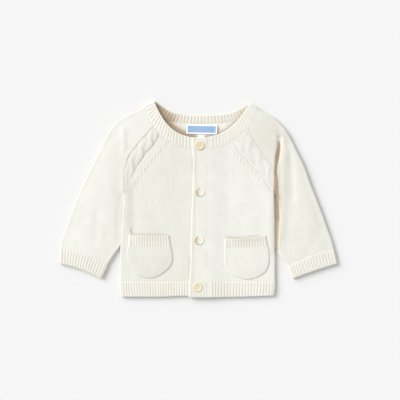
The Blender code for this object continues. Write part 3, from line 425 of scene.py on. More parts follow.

# %% [markdown]
# ## A shell of cloth
#
# Knit is a wall about 2 mm thick, so each piece is a closed shell with two sides. One grid gets a
# second side from the solidify operator, and then each point moves to its place. Two things travel
# with every point: where it is on the cloth, as a UV map in metres, and how much painted shade it
# gets deep between ribs or in a seam, as an attribute. The finish needs both.


# %% Helpers for the edges of a shell
def rounding(distance, radius, depth):
    """1 inside a piece, and lower by `depth` at its edge, on a quarter circle."""
    left = 1 - np.clip(distance / radius, 0, 1)
    return 1 - depth * (1 - np.sqrt(np.maximum(1 - left * left, 0)))


def two_sides(distance_to_seam, distance_to_free):
    """Height of the outer and inner side from the wall's inner side, as shares of the wall."""
    seam = rounding(distance_to_seam, 0.6, 0.1)
    free = rounding(distance_to_free, 1.3, 0.44)
    return np.minimum(seam, free), 1 - free


FAR = 1e3  # the distance to an edge that a piece doesn't have there

# %% [markdown]
# ## Where little light gets in, painted as shade
#
# Light that comes back from the cream wool deep in a fold is brown, so that shade is painted into
# the colour. Each crease is a route of points with its half width there, and the finish is painted
# brown along it as shade. A depth of 1 is the bottom of a groove, and a depth of 2 is the darkest
# part of a fold. A few routes paint broad shade on open cloth, such as the upper left sleeve.

# %% The creases, where shade is painted
UNDERSIDE = 1.4  # what lies lower than this touches the table
# how much painted shade, how soft its edge is, and a route of (x, y, half width)
PAINTED_SHADES = (
    (2.0, 1.4, ((120.4, 86.0, 0.2), (120.8, 80.5, 0.9), (120.0, 73.0, 1.5), (118.5, 65.5, 1.7),
                (117.5, 58.0, 1.6), (116.3, 50.5, 1.0), (115.5, 43.0, 0.8), (116.0, 35.5, 1.0))),
    (1.7, 1.6, ((115.8, 37.0, 0.7), (116.6, 28.0, 1.4), (117.2, 13.0, 1.6), (118.0, 3.0, 1.1))),
    (1.3, 1.7, ((117.8, 8.0, 1.2), (118.6, -2.0, 1.5), (118.6, -17.0, 1.4), (118.4, -32.0, 1.0))),
    (1.05, 1.5, ((118.2, -33.0, 0.8), (117.8, -46.0, 0.8), (117.6, -56.0, 0.6))),
    (0.85, 1.5, ((117.7, -54.0, 0.7), (117.5, -62.0, 0.7), (117.5, -77.0, 0.5))),
    (0.55, 1.0, ((113.6, 26.0, 0.2), (113.2, 18.0, 0.6), (113.2, 4.0, 0.6), (113.8, -26.0, 0.3))),
    (0.32, 3.2, ((112.5, -6.0, 0.3), (112.5, -30.0, 0.6), (112.5, -80.0, 0.5))),
    (0.34, 2.4, ((121.5, 60.0, 0.5), (121.5, 20.0, 1.0))),
    (0.40, 1.7, ((121.0, 34.0, 0.2), (122.6, 8.0, 0.8), (123.0, -20.0, 1.0), (122.6, -47.0, 1.0),
                 (121.6, -64.0, 0.8), (121.0, -76.0, 0.3))),
    (0.22, 6.5, ((121.0, 104.0, 0.5), (120.0, 78.0, 1.5), (119.5, 40.0, 2.0), (121.0, 0.0, 3.0),
                 (120.5, -60.0, 2.0))),
    (0.13, 13.0, ((104.0, 104.0, 5.0), (113.0, 86.0, 5.0))),
    (0.24, 3.4, ((114.0, 114.0, 0.2), (118.0, 107.0, 0.6))),
    (0.40, 3.4, ((118.5, 104.0, 0.6), (119.5, 94.0, 1.0))),
    (0.14, 5.0, ((-103.0, 12.0, 1.0), (-102.0, -40.0, 2.0))),
    (0.85, 1.0, ((-101.3, -43.5, 0.3), (-101.2, -48.5, 0.8), (-99.6, -51.6, 0.5))),
    (0.38, 0.9, ((-98.0, -52.2, 0.3), (-72.0, -53.0, 0.3), (-46.0, -52.6, 0.2))),
    (0.40, 1.0, ((40.5, -55.5, 0.3), (45.5, -57.6, 0.6), (64.0, -57.6, 0.4), (92.0, -54.6, 0.2))),
    (0.30, 1.1, ((-9.6, 64.0, 0.1), (-9.0, 52.0, 0.6), (-9.2, 40.0, 0.1))),
    (0.34, 1.1, ((-12.8, -84.0, 0.1), (-13.6, -97.0, 0.7), (-14.6, -117.0, 0.5))),
)


def painted_crease_shade(points):
    """How much painted shade a grid of points gets from the creases, from 0 to 2."""
    x, y, z = np.moveaxis(points, -1, 0)
    deep = np.zeros(x.shape)
    for amount, softness, route in PAINTED_SHADES:
        for (x0, y0, half0), (x1, y1, half1) in zip(route, route[1:]):
            share, away = nearest_on_line(x, y, (x0, y0, x1, y1))
            away = np.maximum(away - half0 - share * (half1 - half0), 0)
            deep = np.maximum(deep, amount * hump(away, softness))
    return deep * (z > UNDERSIDE)


# %% Objects and meshes
cloth_sizes = {}


def new_object(name, data):
    """A new object of the scene, at the origin."""
    made = bpy.data.objects.new(name, data)
    bpy.context.scene.collection.objects.link(made)
    return made


def finished_mesh(bm, name):
    """A mesh made from a bmesh, which is then freed."""
    mesh = bpy.data.meshes.new(name)
    bm.to_mesh(mesh)
    bm.free()
    return mesh


def dress(name, mesh, slot, replaces=True):
    """Makes a finished mesh a piece that rides on the cardigan in its solid's place."""
    made = new_object("knit_" + name if replaces else name, mesh)
    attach(made, "root")
    if replaces:
        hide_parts(name)
    triangles = sum(len(p.vertices) - 2 for p in mesh.polygons)
    print(f"{made.name}: {triangles} triangles")
    return made


# %% The shell itself
def shell(name, outer, inner, place, depth, finish, slot, inner_depth=None):
    """A closed wall of cloth between two grids of points in millimetres, which replaces its solid.

    place is each point's place on the cloth in millimetres, and depth how much painted shade it
    gets: 0 in the open and 1 in a groove.
    """
    inner_depth = 0.35 * depth if inner_depth is None else inner_depth
    # knitted pieces also get the creases' painted shade, and a sleeve's inner side too
    if slot in ("knit", "rib"):
        depth = np.maximum(depth, painted_crease_shade(outer))
        if name.startswith("sleeve"):
            inner_depth = np.maximum(inner_depth, painted_crease_shade(inner))
    rows, columns = outer.shape[:2]
    bm = bmesh.new()
    bmesh.ops.create_grid(bm, x_segments=columns - 1, y_segments=rows - 1, size=0.5)
    bmesh.ops.solidify(bm, geom=bm.faces[:], thickness=1.0)
    mesh = bpy.data.meshes.new(name)
    bm.to_mesh(mesh)
    flat = np.empty(len(mesh.vertices) * 3)
    mesh.vertices.foreach_get("co", flat)
    flat = flat.reshape(-1, 3)
    column = np.rint((flat[:, 0] + 0.5) * (columns - 1)).astype(int)
    row = np.rint((flat[:, 1] + 0.5) * (rows - 1)).astype(int)
    is_outer = flat[:, 2] > flat[:, 2].mean()
    points = np.where(is_outer[:, None], outer[row, column], inner[row, column]) * MM
    mesh.vertices.foreach_set("co", points.ravel())
    bm.clear()
    bm.from_mesh(mesh)
    bmesh.ops.recalc_face_normals(bm, faces=bm.faces[:])
    bm.to_mesh(mesh)
    bm.free()
    corners = np.empty(len(mesh.loops), int)
    mesh.loops.foreach_get("vertex_index", corners)
    uv = mesh.uv_layers.new(name="cloth")
    uv.data.foreach_set("uv", (place[row, column] * MM)[corners].ravel())
    deep = np.where(is_outer, depth[row, column], inner_depth[row, column])
    for key, values in (("depth", deep), ("inside", np.where(is_outer, 0.0, 1.0))):
        mesh.attributes.new(key, "FLOAT", "POINT").data.foreach_set("value", values)
    mesh.shade_smooth()
    mesh.materials.append(finish)
    return dress(name, mesh, slot)


def surface_area(points):
    """Area of a grid of points, in square metres."""
    across, along = np.diff(points, axis=1)[:-1], np.diff(points, axis=0)[:, :-1]
    return float(np.linalg.norm(np.cross(across, along), axis=-1).sum()) * MM * MM


def cut(name, inner, width, length):
    """Notes the flat size that a piece was knitted to, in millimetres."""
    area = min(surface_area(inner), width * length * MM * MM)
    cloth_sizes[name] = (width * MM, length * MM, area)


# %% [markdown]
# ## Shader maths
#
# A knitted finish is a formula on the cloth's own coordinates. Written as separate Math nodes it
# would be hard to read, so a small class wraps a socket and lets Python's operators add the nodes.


# %% One class for values in a material
class Value:
    """A value in a material's node tree."""

    def __init__(self, tree, socket=None):
        self.tree, self.socket = tree, socket

    def node(self, kind, settings=None, inputs=None, output=0):
        """Adds a node of that type. Settings come first, then the values or links of its sockets."""
        made = self.tree.nodes.new(kind)
        for name, value in (settings or {}).items():
            setattr(made, name, value)
        for key, value in (inputs or {}).items():
            if isinstance(value, Value):
                self.tree.links.new(value.socket, made.inputs[key])
            else:
                made.inputs[key].default_value = value
        return Value(self.tree, made.outputs[output])

    def maths(self, operation, *others):
        inputs = dict(enumerate((self, *others)))
        return self.node("ShaderNodeMath", {"operation": operation}, inputs)

    def __add__(self, other):
        return self.maths("ADD", other)

    def __sub__(self, other):
        return self.maths("SUBTRACT", other)

    def __rsub__(self, other):
        return self.node("ShaderNodeMath", {"operation": "SUBTRACT"}, {0: other, 1: self})

    def __mul__(self, other):
        return self.maths("MULTIPLY", other)

    def __pow__(self, other):
        return self.maths("POWER", other)

    def __abs__(self):
        return self.maths("ABSOLUTE")

    __radd__, __rmul__ = __add__, __mul__

    def fraction(self):
        return self.maths("FRACT")

    def sine(self):
        return self.maths("SINE")

    def limited(self):
        return self.node("ShaderNodeClamp", None, {0: self})

    def blend(self, low, high):
        """Two colours, mixed by this value."""
        low, high = ((*c, 1) if isinstance(c, tuple) else c for c in (low, high))
        return self.node("ShaderNodeMix", {"data_type": "RGBA"}, {0: self, 6: low, 7: high}, 2)

    def split(self):
        """The X and the Y of a place."""
        return [self.node("ShaderNodeSeparateXYZ", None, {0: self}, axis) for axis in (0, 1)]

    def noise(self, scale, detail=2.0, distortion=0.0):
        """Soft noise round 0.5, read at the places that this value holds."""
        inputs = {"Vector": self, "Scale": scale, "Detail": detail, "Distortion": distortion}
        return self.node("ShaderNodeTexNoise", None, inputs)

    def bump(self, strength, distance):
        """The normal of a surface that has this value as its relief."""
        inputs = {"Strength": strength, "Distance": distance, "Height": self}
        return self.node("ShaderNodeBump", None, inputs)

    def feed(self, shader, name):
        """Links this value to a socket of the shader."""
        self.tree.links.new(self.socket, shader.inputs[name])


def new_material(name, colour, roughness, plain=None):
    """A Principled material with even values, the start of its tree and its shader."""
    made = bpy.data.materials.new(name)
    made.use_nodes = True
    shader = made.node_tree.nodes["Principled BSDF"]
    plain = {"Base Color": (*colour, 1), "Roughness": roughness, **(plain or {})}
    for socket, value in plain.items():
        shader.inputs[socket].default_value = value
    made.diffuse_color = (*colour, 1)
    return made, Value(made.node_tree), shader


# %% [markdown]
# ## The knitted finish
#
# Stockinette has columns of V-shaped stitches on its outer side and rows of small bumps on its
# inner side. Modelling some forty thousand stitches would cost millions of faces, so the stitches
# are a height pattern for a Bump node, while the ribs and cables are real geometry. The yarn is
# soft cotton: almost matt, with a little sheen. Shade is painted into its colour: darker and warmer
# where little light gets in.

# %% Colours of the yarn, as linear values, two of them darkened as painted shade
# the right front and the left sleeve are darker copies of the same cream: painted shade, for how
# those pieces lie to the light
CREAM_RIGHT_SHADED = (0.785, 0.785, 0.724)
CREAM_LEFT = (0.828, 0.828, 0.772)
CREAM_SLEEVE_RIGHT = (0.835, 0.832, 0.775)
CREAM_SLEEVE_LEFT_SHADED = (0.788, 0.785, 0.722)
CREAM_RIB = (0.815, 0.806, 0.742)
CREAM_BAND = (0.800, 0.797, 0.735)
# SHADE serves both painted shade between the stitches and the yarn's uneven tone
SHADE = (0.84, 0.80, 0.72)  # of the yarn's own colour
# the painted shade's colours, brown in a groove and darker brown in a fold
PAINTED_SHADE_BROWN = (0.50, 0.395, 0.275)  # at a depth of 1
PAINTED_DEEP_SHADE_BROWN = (0.33, 0.25, 0.165)  # at a depth of 2
TURN = 2 * math.pi  # one wave of a sine


# %% The stitches
def knit_finish(name, cream, pattern=1.0):
    """Fine stockinette in cream yarn, on the cloth's own UV map. pattern is its relief's strength."""
    sheen = {"Sheen Weight": 0.25, "Sheen Roughness": 0.6, "Specular IOR Level": 0.25}
    made, start, shader = new_material(name, cream, 0.86, sheen)
    cloth = start.node("ShaderNodeUVMap", {"uv_map": "cloth"})
    u, v = cloth.split()
    depth, inside = (
        start.node("ShaderNodeAttribute", {"attribute_name": key}, None, 2)
        for key in ("depth", "inside")
    )
    # the outer side: two legs of a V in each column, and uneven yarn, so that they wander a little
    wander = cloth.noise(90.0)
    wale, course = u * (1 / (WALE * MM)), v * (1 / (COURSE * MM))
    across = abs((wale + wander * 0.35).fraction() - 0.5)
    leg = 1 - ((across - 0.25) * 4) ** 2
    lean = (course + wander * 0.5 - across * 1.3) * TURN
    stitch = leg * (lean.sine() * 0.35 + 0.65)
    # the inner side: rows of bumps
    row = (course * TURN + wander * 3).sine()
    bumps = row * ((wale * TURN).sine() * 0.25 + 0.75) * 0.5 + 0.5
    height = stitch * (1 - inside) + bumps * inside
    fuzz = cloth.noise(2600.0, 3.0)
    (height + fuzz * 0.35).bump(0.55 * pattern, 0.0005).feed(shader, "Normal")
    # painted shade between the stitches and in every groove, and a slow random unevenness of the
    # yarn's tone
    cloud = cloth.noise(45.0, 3.0)
    streak = cloth.node("ShaderNodeMapping", None, {0: cloth, "Scale": (1.0, 0.12, 1.0)}).noise(330.0)
    shade = ((1 - height) * 0.10 + (cloud - 0.5) * 0.55 + (streak - 0.5) * 0.5 + 0.08).limited()
    yarn = shade.blend(cream, tuple(np.multiply(cream, SHADE)))
    # painted shade: brown where the depth attribute says little light gets in, darker brown past a
    # depth of 1
    groove = depth * (0.9 + (wander - 0.5) * 0.5)
    brown = (groove - 0.9).limited().blend(PAINTED_SHADE_BROWN, PAINTED_DEEP_SHADE_BROWN)
    groove.limited().blend(yarn, brown).feed(shader, "Base Color")
    (0.9 - fuzz * 0.12).feed(shader, "Roughness")
    return made


knit_right_shaded = knit_finish("cream_knit_right_shaded", CREAM_RIGHT_SHADED)
knit_left = knit_finish("cream_knit_left", CREAM_LEFT)
sleeve_right_knit = knit_finish("cream_knit_sleeve_right", CREAM_SLEEVE_RIGHT)
sleeve_left_knit_shaded = knit_finish("cream_knit_sleeve_left_shaded", CREAM_SLEEVE_LEFT_SHADED)
rib_knit = knit_finish("cream_rib", CREAM_RIB, pattern=0.8)
band_knit = knit_finish("cream_band", CREAM_BAND, pattern=0.8)
print("finishes:", [m.name for m in bpy.data.materials])

# %% [markdown]
# ## Ribs
#
# A rib is a column of knit stitches that stands out beside a column of purl stitches that draws
# back. Its section is close to half an ellipse with a narrow groove on each side. Eight points
# across a rib are enough, when they lie closer together near the groove.

# %% A run of ribs
RIB_STEPS = (0.0, 0.05, 0.15, 0.3, 0.5, 0.7, 0.85, 0.95)
# RIB_SHADE is how much painted shade lies in the grooves between ribs
RIB_SHADE = 0.45  # how deep the grooves between ribs are shaded
RIB_PRESSED = 0.8  # share of a rib's height that is left as a groove where it is pressed flat
random_rib = random.Random(11)


def ribs_across(count):
    """Places across a run of ribs, from 0 to count, their height from 0 to 1 and the painted shade of
    their grooves.
    """
    places, heights, depths = [], [], []
    for i in range(count):
        strong = 1 + random_rib.uniform(-0.14, 0.08)
        lean = random_rib.uniform(-0.05, 0.05)
        for at in RIB_STEPS:
            crest = math.sin(math.pi * at)
            places.append(i + at + lean * crest)
            heights.append(strong * crest**0.7)
            depths.append(RIB_SHADE * (1 - crest) ** 2.2)
    return np.array([*places, count]), np.array([*heights, 0.0]), np.array([*depths, RIB_SHADE])


print("points across 17 ribs:", 17 * len(RIB_STEPS) + 1)

# %% [markdown]
# ## Side seams
#
# The front and the back meet in a side seam, half way up the garment's thickness. A knitted seam
# of a flat-laid cardigan rolls over a small radius, so both layers get a short turned edge.


# %% Places along the seams and edges
def seam_x(rows, y, count=400):
    """X of a seam in plan at each y."""
    fine = sampled(rows, count)
    return np.interp(y, fine[:, 1], fine[:, 0])


def band_edge_x(y):
    """X of the upper band's free edge."""
    return seam_x(BAND_EDGE[::-1], y, 300)


def right_centre_x(y):
    """X of the right front's edge, under the upper band."""
    return band_edge_x(y) + BUTTONHOLE_LAP


def left_centre_x(y):
    """X of the left front's seam with the upper band."""
    return BUTTON_BAND_X + SEAM / 2 + 0 * y


def neck_seam(t):
    """The neckband's seam in plan, by row of its tables."""
    rows = (*NECK_FRONT_RIGHT, NECK_FOLD_RIGHT, *NECK_BACK, NECK_FOLD_LEFT, *NECK_FRONT_LEFT)
    return curve(rows, t)[..., 2:4]


def hem_y(x):
    """The hem's edge: higher on the right front, and curved up to the left side seam."""
    at_side, at_bands = RIGHT_HEM_RISE
    right = HEM_EDGE_Y + at_side + (at_bands - at_side) * soft((x + 58.0) / 30.0)
    return np.where(x > BAND_EDGE[-1][0] + 5, HEM_EDGE_Y + 3.0 * (x / 116.0) ** 2, right)


# %% [markdown]
# ## The neckband's line
#
# The neckband is one strip that lies on the upper layer at the front, turns over at each shoulder
# and comes back on the lower layer round the back of the neck. Posts stand across it, each from
# the free edge to the seam, and the posts at a shoulder turn through half a circle. The sleeves
# end on the same line, so it comes before both.

# %% Posts across the neckband
def neck_posts():
    """Posts along the neckband: free edge, seam edge and the way out of the garment, in 3-D."""
    posts = []

    def flat_posts(rows, upper):
        for fx, fy, sx, sy, lift in rows:
            seam_z = float(upper_level(sx, sy)) + WALL / 2 if upper else WALL / 2
            free_z = seam_z + (lift if upper else 0.0)
            posts.append((fx, fy, free_z, sx, sy, seam_z, 0, 0, 1 if upper else -1))

    def fold_posts(row, before, after):
        """Posts round the fold, from the layer of the row before to that of the row after."""
        sx, sy, lift = row[2:]
        first, turn = (90, -45) if before in NECK_FRONT_RIGHT else (-90, 45)
        for k in range(5):
            angle = math.radians(first + k * turn)
            share = (1 - math.cos(k * math.pi / 4)) / 2
            post, outs = [], np.zeros(2)
            for edge, extra in ((0, lift), (2, 0.0)):
                at = np.array(row[edge : edge + 2])
                to_before = unit(np.array(before[edge : edge + 2]) - at)
                to_after = unit(np.array(after[edge : edge + 2]) - at)
                inward = unit(to_before * (1 - share) + to_after * share)
                radius = (float(lie(sx, sy)) + extra + WALL) / 2
                middle = radius - WALL / 2
                off = at + inward * (radius - middle * math.cos(angle))
                post += [off[0], off[1], radius + middle * math.sin(angle)]
                outs -= inward * math.cos(angle) / 2
            posts.append((*post, *outs, math.sin(angle)))

    flat_posts(NECK_FRONT_RIGHT, True)
    fold_posts(NECK_FOLD_RIGHT, NECK_FRONT_RIGHT[-1], NECK_BACK[0])
    flat_posts(NECK_BACK, False)
    fold_posts(NECK_FOLD_LEFT, NECK_BACK[-1], NECK_FRONT_LEFT[0])
    flat_posts(NECK_FRONT_LEFT, True)
    return np.array(posts)


NECK_POSTS = neck_posts()
NECK_PLACES = np.linspace(0, len(NECK_POSTS) - 1, 2400)
NECK_FINE = curve(NECK_POSTS, NECK_PLACES)
print("posts across the neckband:", len(NECK_POSTS))

# %% [markdown]
# ## The back
#
# The back lies flat on the table with its outer side down. Only its inside shows, in the opening
# of the neck. Its columns of stitches run straight up, so its UV map is simply its plan.

# %% The back panel
TURN_STEPS = np.linspace(0, 1, 8)[:-1] * math.pi / 2
ON_RAGLAN = 0.22  # share of the back's columns that end on each raglan


def back_panel():
    """The back, from its hem seam to the raglans and the neckband, with both sides turned up."""
    right = [row[6:8] for row in RAGLAN_RIGHT]
    left = [row[6:8] for row in RAGLAN_LEFT]
    low_left, low_right = seam_x(SIDE_RIGHT, HEM_SEAM_Y), seam_x(SIDE_LEFT, HEM_SEAM_Y)
    radius = (LAYER + WALL) / 2
    shares = np.linspace(0, 1, 112)
    # the upper edge, from the right underarm over the neck to the left underarm
    t_right = np.clip(shares / ON_RAGLAN, 0, 1) * (len(right) - 1.03)
    t_left = np.clip((1 - shares) / ON_RAGLAN, 0, 1) * (len(left) - 1.03)
    over_neck = (shares - ON_RAGLAN) / (1 - 2 * ON_RAGLAN)
    t_neck = NECK_BACK_RIGHT + (NECK_BACK_LEFT - NECK_BACK_RIGHT) * over_neck
    t_neck = np.clip(t_neck, NECK_BACK_RIGHT + 0.05, NECK_BACK_LEFT - 0.05)
    top = beside(neck_seam, t_neck, -SEAM)
    on_right, on_left = (shares < ON_RAGLAN)[:, None], (shares > 1 - ON_RAGLAN)[:, None]
    top = np.where(on_right, beside(lambda q: curve(right, q), t_right, -SEAM), top)
    top = np.where(on_left, beside(lambda q: curve(left, q), t_left, SEAM), top)
    x_low = low_left + radius + (low_right - low_left - 2 * radius) * shares
    low_y = HEM_SEAM_Y + SEAM / 2
    height = 240.0  # near enough to space the rows
    v = station_shares(height, 2.2)[:, None]
    x = x_low + (top[:, 0] - x_low) * v
    y = low_y + (top[:, 1] - low_y) * v
    edge_y = y[:, [0, -1]]
    ends = points_at(seam_x(SIDE_RIGHT, edge_y[:, 0]), seam_x(SIDE_LEFT, edge_y[:, 1]))
    x = x + (ends[:, :1] + radius - x[:, :1]) * (1 - shares) ** 6
    x = x + (ends[:, 1:] - radius - x[:, -1:]) * shares**6
    turn = 1 - 0.75 * soft((v - 0.9) / 0.1)
    run = TURN_STEPS * radius
    out_share, _ = two_sides(np.minimum(v, 1 - v) * height, FAR)
    grids = []
    for h in (WALL * out_share, 0 * out_share):
        off, up = turned_edge(run, LAYER, h, radius, turn)
        up = np.minimum(LAYER + WALL - up, radius - SEAM / 2)
        at_left = points_at(ends[:, :1] + off, edge_y[:, :1], up)
        at_right = points_at(ends[:, 1:] - off, edge_y[:, 1:], up)[:, ::-1]
        grids.append(np.concatenate([at_left, points_at(x, y, WALL - h), at_right], 1))
    outer, inner = grids
    run_out = run - radius * math.pi / 2
    u = np.concatenate([x[:, :1] + run_out, x, x[:, -1:] - run_out[::-1]], 1)
    place = points_at(u, outer[..., 1])
    # painted shadow: the light hardly reaches in under the front neckband, nor beside the label, so
    # shade is painted there
    ix, iy = inner[..., 0], inner[..., 1]
    right_edge = sampled((*NECK_FRONT_RIGHT, NECK_FOLD_RIGHT), 120)[:, 0:2]
    left_edge = sampled((NECK_FOLD_LEFT, *NECK_FRONT_LEFT), 120)[:, 0:2]
    shaded = 1.9 * hump(to_outline(ix, iy, right_edge), 7.5) * soft((40 - ix) / 60)
    shaded = np.maximum(shaded, 0.9 * hump(to_outline(ix, iy, left_edge), 3.5))
    shaded = np.maximum(shaded, 0.9 * hump(to_line(ix, iy, (30.0, 106.0, 31.0, 97.0)), 2.4))
    shell("back", outer, inner, place, 0 * ix, knit_left, "knit", np.clip(shaded, 0, 1.3))
    cut("back", inner, 243.0, 262.0)


back_panel()

# %% [markdown]
# ## The back's hem
#
# The ribbed hem of the back is pressed against the table, so its ribs are cut into the wall
# instead of standing out from it. Only its edge shows, below the right front.


# %% The ribbed hem of the back
def back_hem():
    """The hem of the back, with both ends turned up to the side seams."""
    radius = (LAYER + WALL) / 2
    ribs, height = 52, 24.0
    at, high, deep = ribs_across(ribs)
    share = station_shares(height, 1.6)[:, None]
    y_seam = HEM_SEAM_Y - SEAM / 2
    edge_y = y_seam + (HEM_EDGE_Y - y_seam) * share
    left_x, right_x = seam_x(SIDE_RIGHT, edge_y), seam_x(SIDE_LEFT, edge_y)
    quarter = radius * math.pi / 2
    length = right_x - left_x - 2 * radius + 2 * quarter
    s = at / ribs * length
    _, free = two_sides(FAR, (1 - share) * height)
    grids = []
    for h in ((WALL - RIB * RIB_PRESSED * (1 - high)) * (1 - free), WALL * free + 0 * s):
        from_left, up_left = turned_edge(s, LAYER, h, radius)
        from_right, up_right = turned_edge(length - s, LAYER, h, radius)
        on_left = s < length / 2
        x = np.where(on_left, left_x + from_left, right_x - from_right)
        up = np.where(on_left, up_left, up_right)
        z = np.minimum(LAYER + WALL - up, radius - SEAM / 2)
        y = y_seam + (np.maximum(hem_y(x), HEM_EDGE_Y + RIGHT_HEM_RISE[1]) - y_seam) * share
        grids.append(points_at(x, y, z))
    place = points_at(s - length / 2, grids[0][..., 1])
    shell("hem_back", *grids, place, deep + 0 * s, rib_knit, "rib")
    cut("hem_back", grids[1], 236.0, 25.0)


back_hem()

# %% [markdown]
# ## The fronts
#
# Each front runs from its hem seam up to the raglan strip and the neckband. A grid whose columns
# fan out to the upper edge follows both seams, and the UV map stays the plan, so the columns of
# stitches still run straight up and end at the seams, as they do in a real front. Near the pocket,
# the band and the seams less light arrives, so shade is painted there: the cloth is a little warmer
# and darker.

# %% Where shade is painted on the fronts
def outline_of(rows, count=70):
    """Points down the left side of a pocket, along its bottom and up its right side."""
    fine = sampled(rows, count)
    bottom = np.linspace(fine[-1, :2], fine[-1, 2:], 12)
    return np.concatenate([fine[:, :2], bottom, fine[::-1, 2:]])


def front_shade(x, y):
    """How much painted shade the fronts get beside the pockets and the upper band's edge, from 0 to
    1.
    """
    deep = 0.0 * x
    for rows in (POCKET_RIGHT, POCKET_LEFT):
        weight = soft((x - (rows[0][0] + rows[0][2]) / 2 + 12) / 30)
        deep = np.maximum(deep, 0.25 * weight * hump(to_outline(x, y, outline_of(rows)), 1.3))
    return np.maximum(deep, 0.12 * hump(band_edge_x(y) - x, 1.2) * (x < 0))


# %% Fashioning marks
MARKS_AT = 1.04  # share of the raglan strip's width, so they lie across its edge
MARK_PITCH = 6.8
MARK_LEAN = 1.27  # how far a mark runs along the raglan for each millimetre across
# how far a mark stands out, and how much painted shade lies in the dip between marks
MARK_HIGH, MARK_SHADE = 0.85, 0.16


def to_mark(along, across):
    """Distance along the raglan to the nearest mark, and the same to the nearest gap."""
    mark = np.abs((along + across * MARK_LEAN) / MARK_PITCH % 1.0 - 0.5) * MARK_PITCH
    return mark, mark - MARK_PITCH / 2


# %% The two fronts
def front(name, sides, raglan_rows, side, neck_from, neck_to, centre_x, finish, edge_shade):
    """A front with its side turned down. side is -1 for the right front and 1 for the left one."""
    hem_x = float(seam_x(sides, HEM_SEAM_Y))
    underarm = np.array(sides[-1])
    last = len(raglan_rows) - 1
    corner = np.array(raglan_rows[-1][2:4])
    centre_low = float(centre_x(HEM_SEAM_Y))
    low_y = HEM_SEAM_Y + SEAM / 2

    def raglan_path(t):
        return curve(raglan_rows, t)[..., 2:4]

    corner_shift = beside(neck_seam, np.array(neck_from), SEAM) - corner
    corner_along = beside(raglan_path, np.array(float(last)), side * SEAM / 2) - corner
    quarter = (LAYER + WALL) / 2
    start_x = hem_x - side * quarter
    corner_at = (corner[0] - start_x) / (centre_low - start_x)
    width = abs(centre_low - start_x)
    to_corner = stations(corner_at * width, 0.75, (0.0, 0.4))
    to_centre = corner_at * width + stations((1 - corner_at) * width, 1.4)[1:]
    shares = np.concatenate([to_corner, to_centre]) / width
    x_low = start_x + (centre_low - start_x) * shares
    path = (x_low - hem_x) / (corner[0] - hem_x) * (last + 1) - 1

    def top_boundary():
        at_raglan = beside(raglan_path, np.maximum(path, 0.0), side * SEAM / 2)
        at_raglan = at_raglan + corner_shift * soft((path / last - 0.75) / 0.25)[:, None]
        at_underarm = underarm + (at_raglan - underarm) * (path + 1)[:, None]
        share = (x_low - corner[0]) / (centre_low - corner[0])
        at_neck = beside(neck_seam, neck_from + (neck_to - neck_from) * share, SEAM)
        at_neck = at_neck + corner_along * (1 - soft(share * 5))[:, None]
        on_raglan = np.where((path < 0)[:, None], at_underarm, at_raglan)
        return np.where((share > 0)[:, None], at_neck, on_raglan)

    top = top_boundary()
    height = 195.0  # near enough to space the rows
    v = station_shares(height, 2.0)[:, None]
    x = x_low + (top[:, 0] - x_low) * v
    y = low_y + (top[:, 1] - low_y) * v
    edge_y = y[:, :1]
    edge_x = seam_x(sides, edge_y)
    level = upper_level(edge_x - side * 3.0, edge_y)
    radius = (level + WALL) / 2
    # the columns beside the turned edge keep clear of it, but end on the raglan's strip
    first_share = (hem_x + (corner[0] - hem_x) / (last + 1) - start_x) / (centre_low - start_x)
    at_top = soft((v - 0.8) / 0.2)
    beside_edge = (1 - shares) ** 3 * (1 - at_top)
    beside_edge = beside_edge + np.clip(1 - shares / first_share, 0, 1) * at_top
    x = x + (edge_x - side * radius - x[:, :1]) * beside_edge
    straight = centre_low + (top[-1, 0] - centre_low) * v
    x = x + (centre_x(y) - straight) * shares**6 * (shares > 0.3)
    turn = 1 - 0.75 * soft((v - 0.9) / 0.1)
    run = TURN_STEPS * radius
    drop = np.hypot(top[:, 0] - x_low, top[:, 1] - low_y)
    to_neck = np.where(shares > corner_at + 0.001, (1 - v) * drop, FAR)
    to_seam = np.minimum(np.minimum(v * drop, to_neck), (1 - shares) * width)
    share, _ = two_sides(to_seam, FAR)
    level_here = upper_level(x, y)
    near_edge = np.maximum(soft((np.abs(x - edge_x) - radius) / 10), soft((v - 0.88) / 0.1))
    level_here = level + (level_here - level) * near_edge
    # the fashioning marks of the strip run on over its edge
    reach = math.dist(raglan_rows[-1][:2], raglan_rows[0][:2])
    beside_strip = curve(raglan_rows, np.clip(path, 0, last))
    strip = np.hypot(*(beside_strip[:, 0:2] - beside_strip[:, 2:4]).T)
    mark, gap = to_mark(path / last * reach, (1 - MARKS_AT) * strip)
    fade = soft((strip - 7) / 8) * soft(path) * (shares < corner_at)
    near_strip = fade * hump((1 - v) * drop * 0.75 - 1.0, 2.0)
    marks = MARK_HIGH * hump(mark, 0.85) * near_strip
    dips = MARK_SHADE * hump(gap, 0.9) * near_strip
    grids = []
    for h in (WALL * share + marks, 0 * share):
        off, up = turned_edge(run, level, h[:, :1], radius, turn)
        edge = points_at(edge_x - side * off, edge_y, np.maximum(up, radius + SEAM / 2))
        grids.append(np.concatenate([edge, points_at(x, y, level_here + h)], 1))
    outer, inner = grids
    run_out = side * (radius * math.pi / 2 - run)
    place = points_at(np.concatenate([x[:, :1] + run_out, x], 1), outer[..., 1])
    # painted shade on the turned edge of the front, and in the dips between the marks
    groove = np.concatenate([np.full(run.shape, edge_shade), dips], 1)
    deep = np.maximum(front_shade(outer[..., 0], outer[..., 1]), groove)
    shell(name, outer, inner, place, deep, finish, "knit")
    cut(name, inner, 108.0, 214.0)


front("front_right", SIDE_RIGHT, RAGLAN_RIGHT, -1, NECK_RIGHT_STRIP, NECK_RIGHT_END,
      right_centre_x, knit_right_shaded, 0.1)
front("front_left", SIDE_LEFT, RAGLAN_LEFT, 1, NECK_LEFT_STRIP, NECK_LEFT_END,
      left_centre_x, knit_left, 0.0)

# %% [markdown]
# ## The hems of the fronts
#
# The ribs of a hem start at the hem seam, a little drawn in, and run out over the rounded edge,
# where each of them ends in its own small bump.


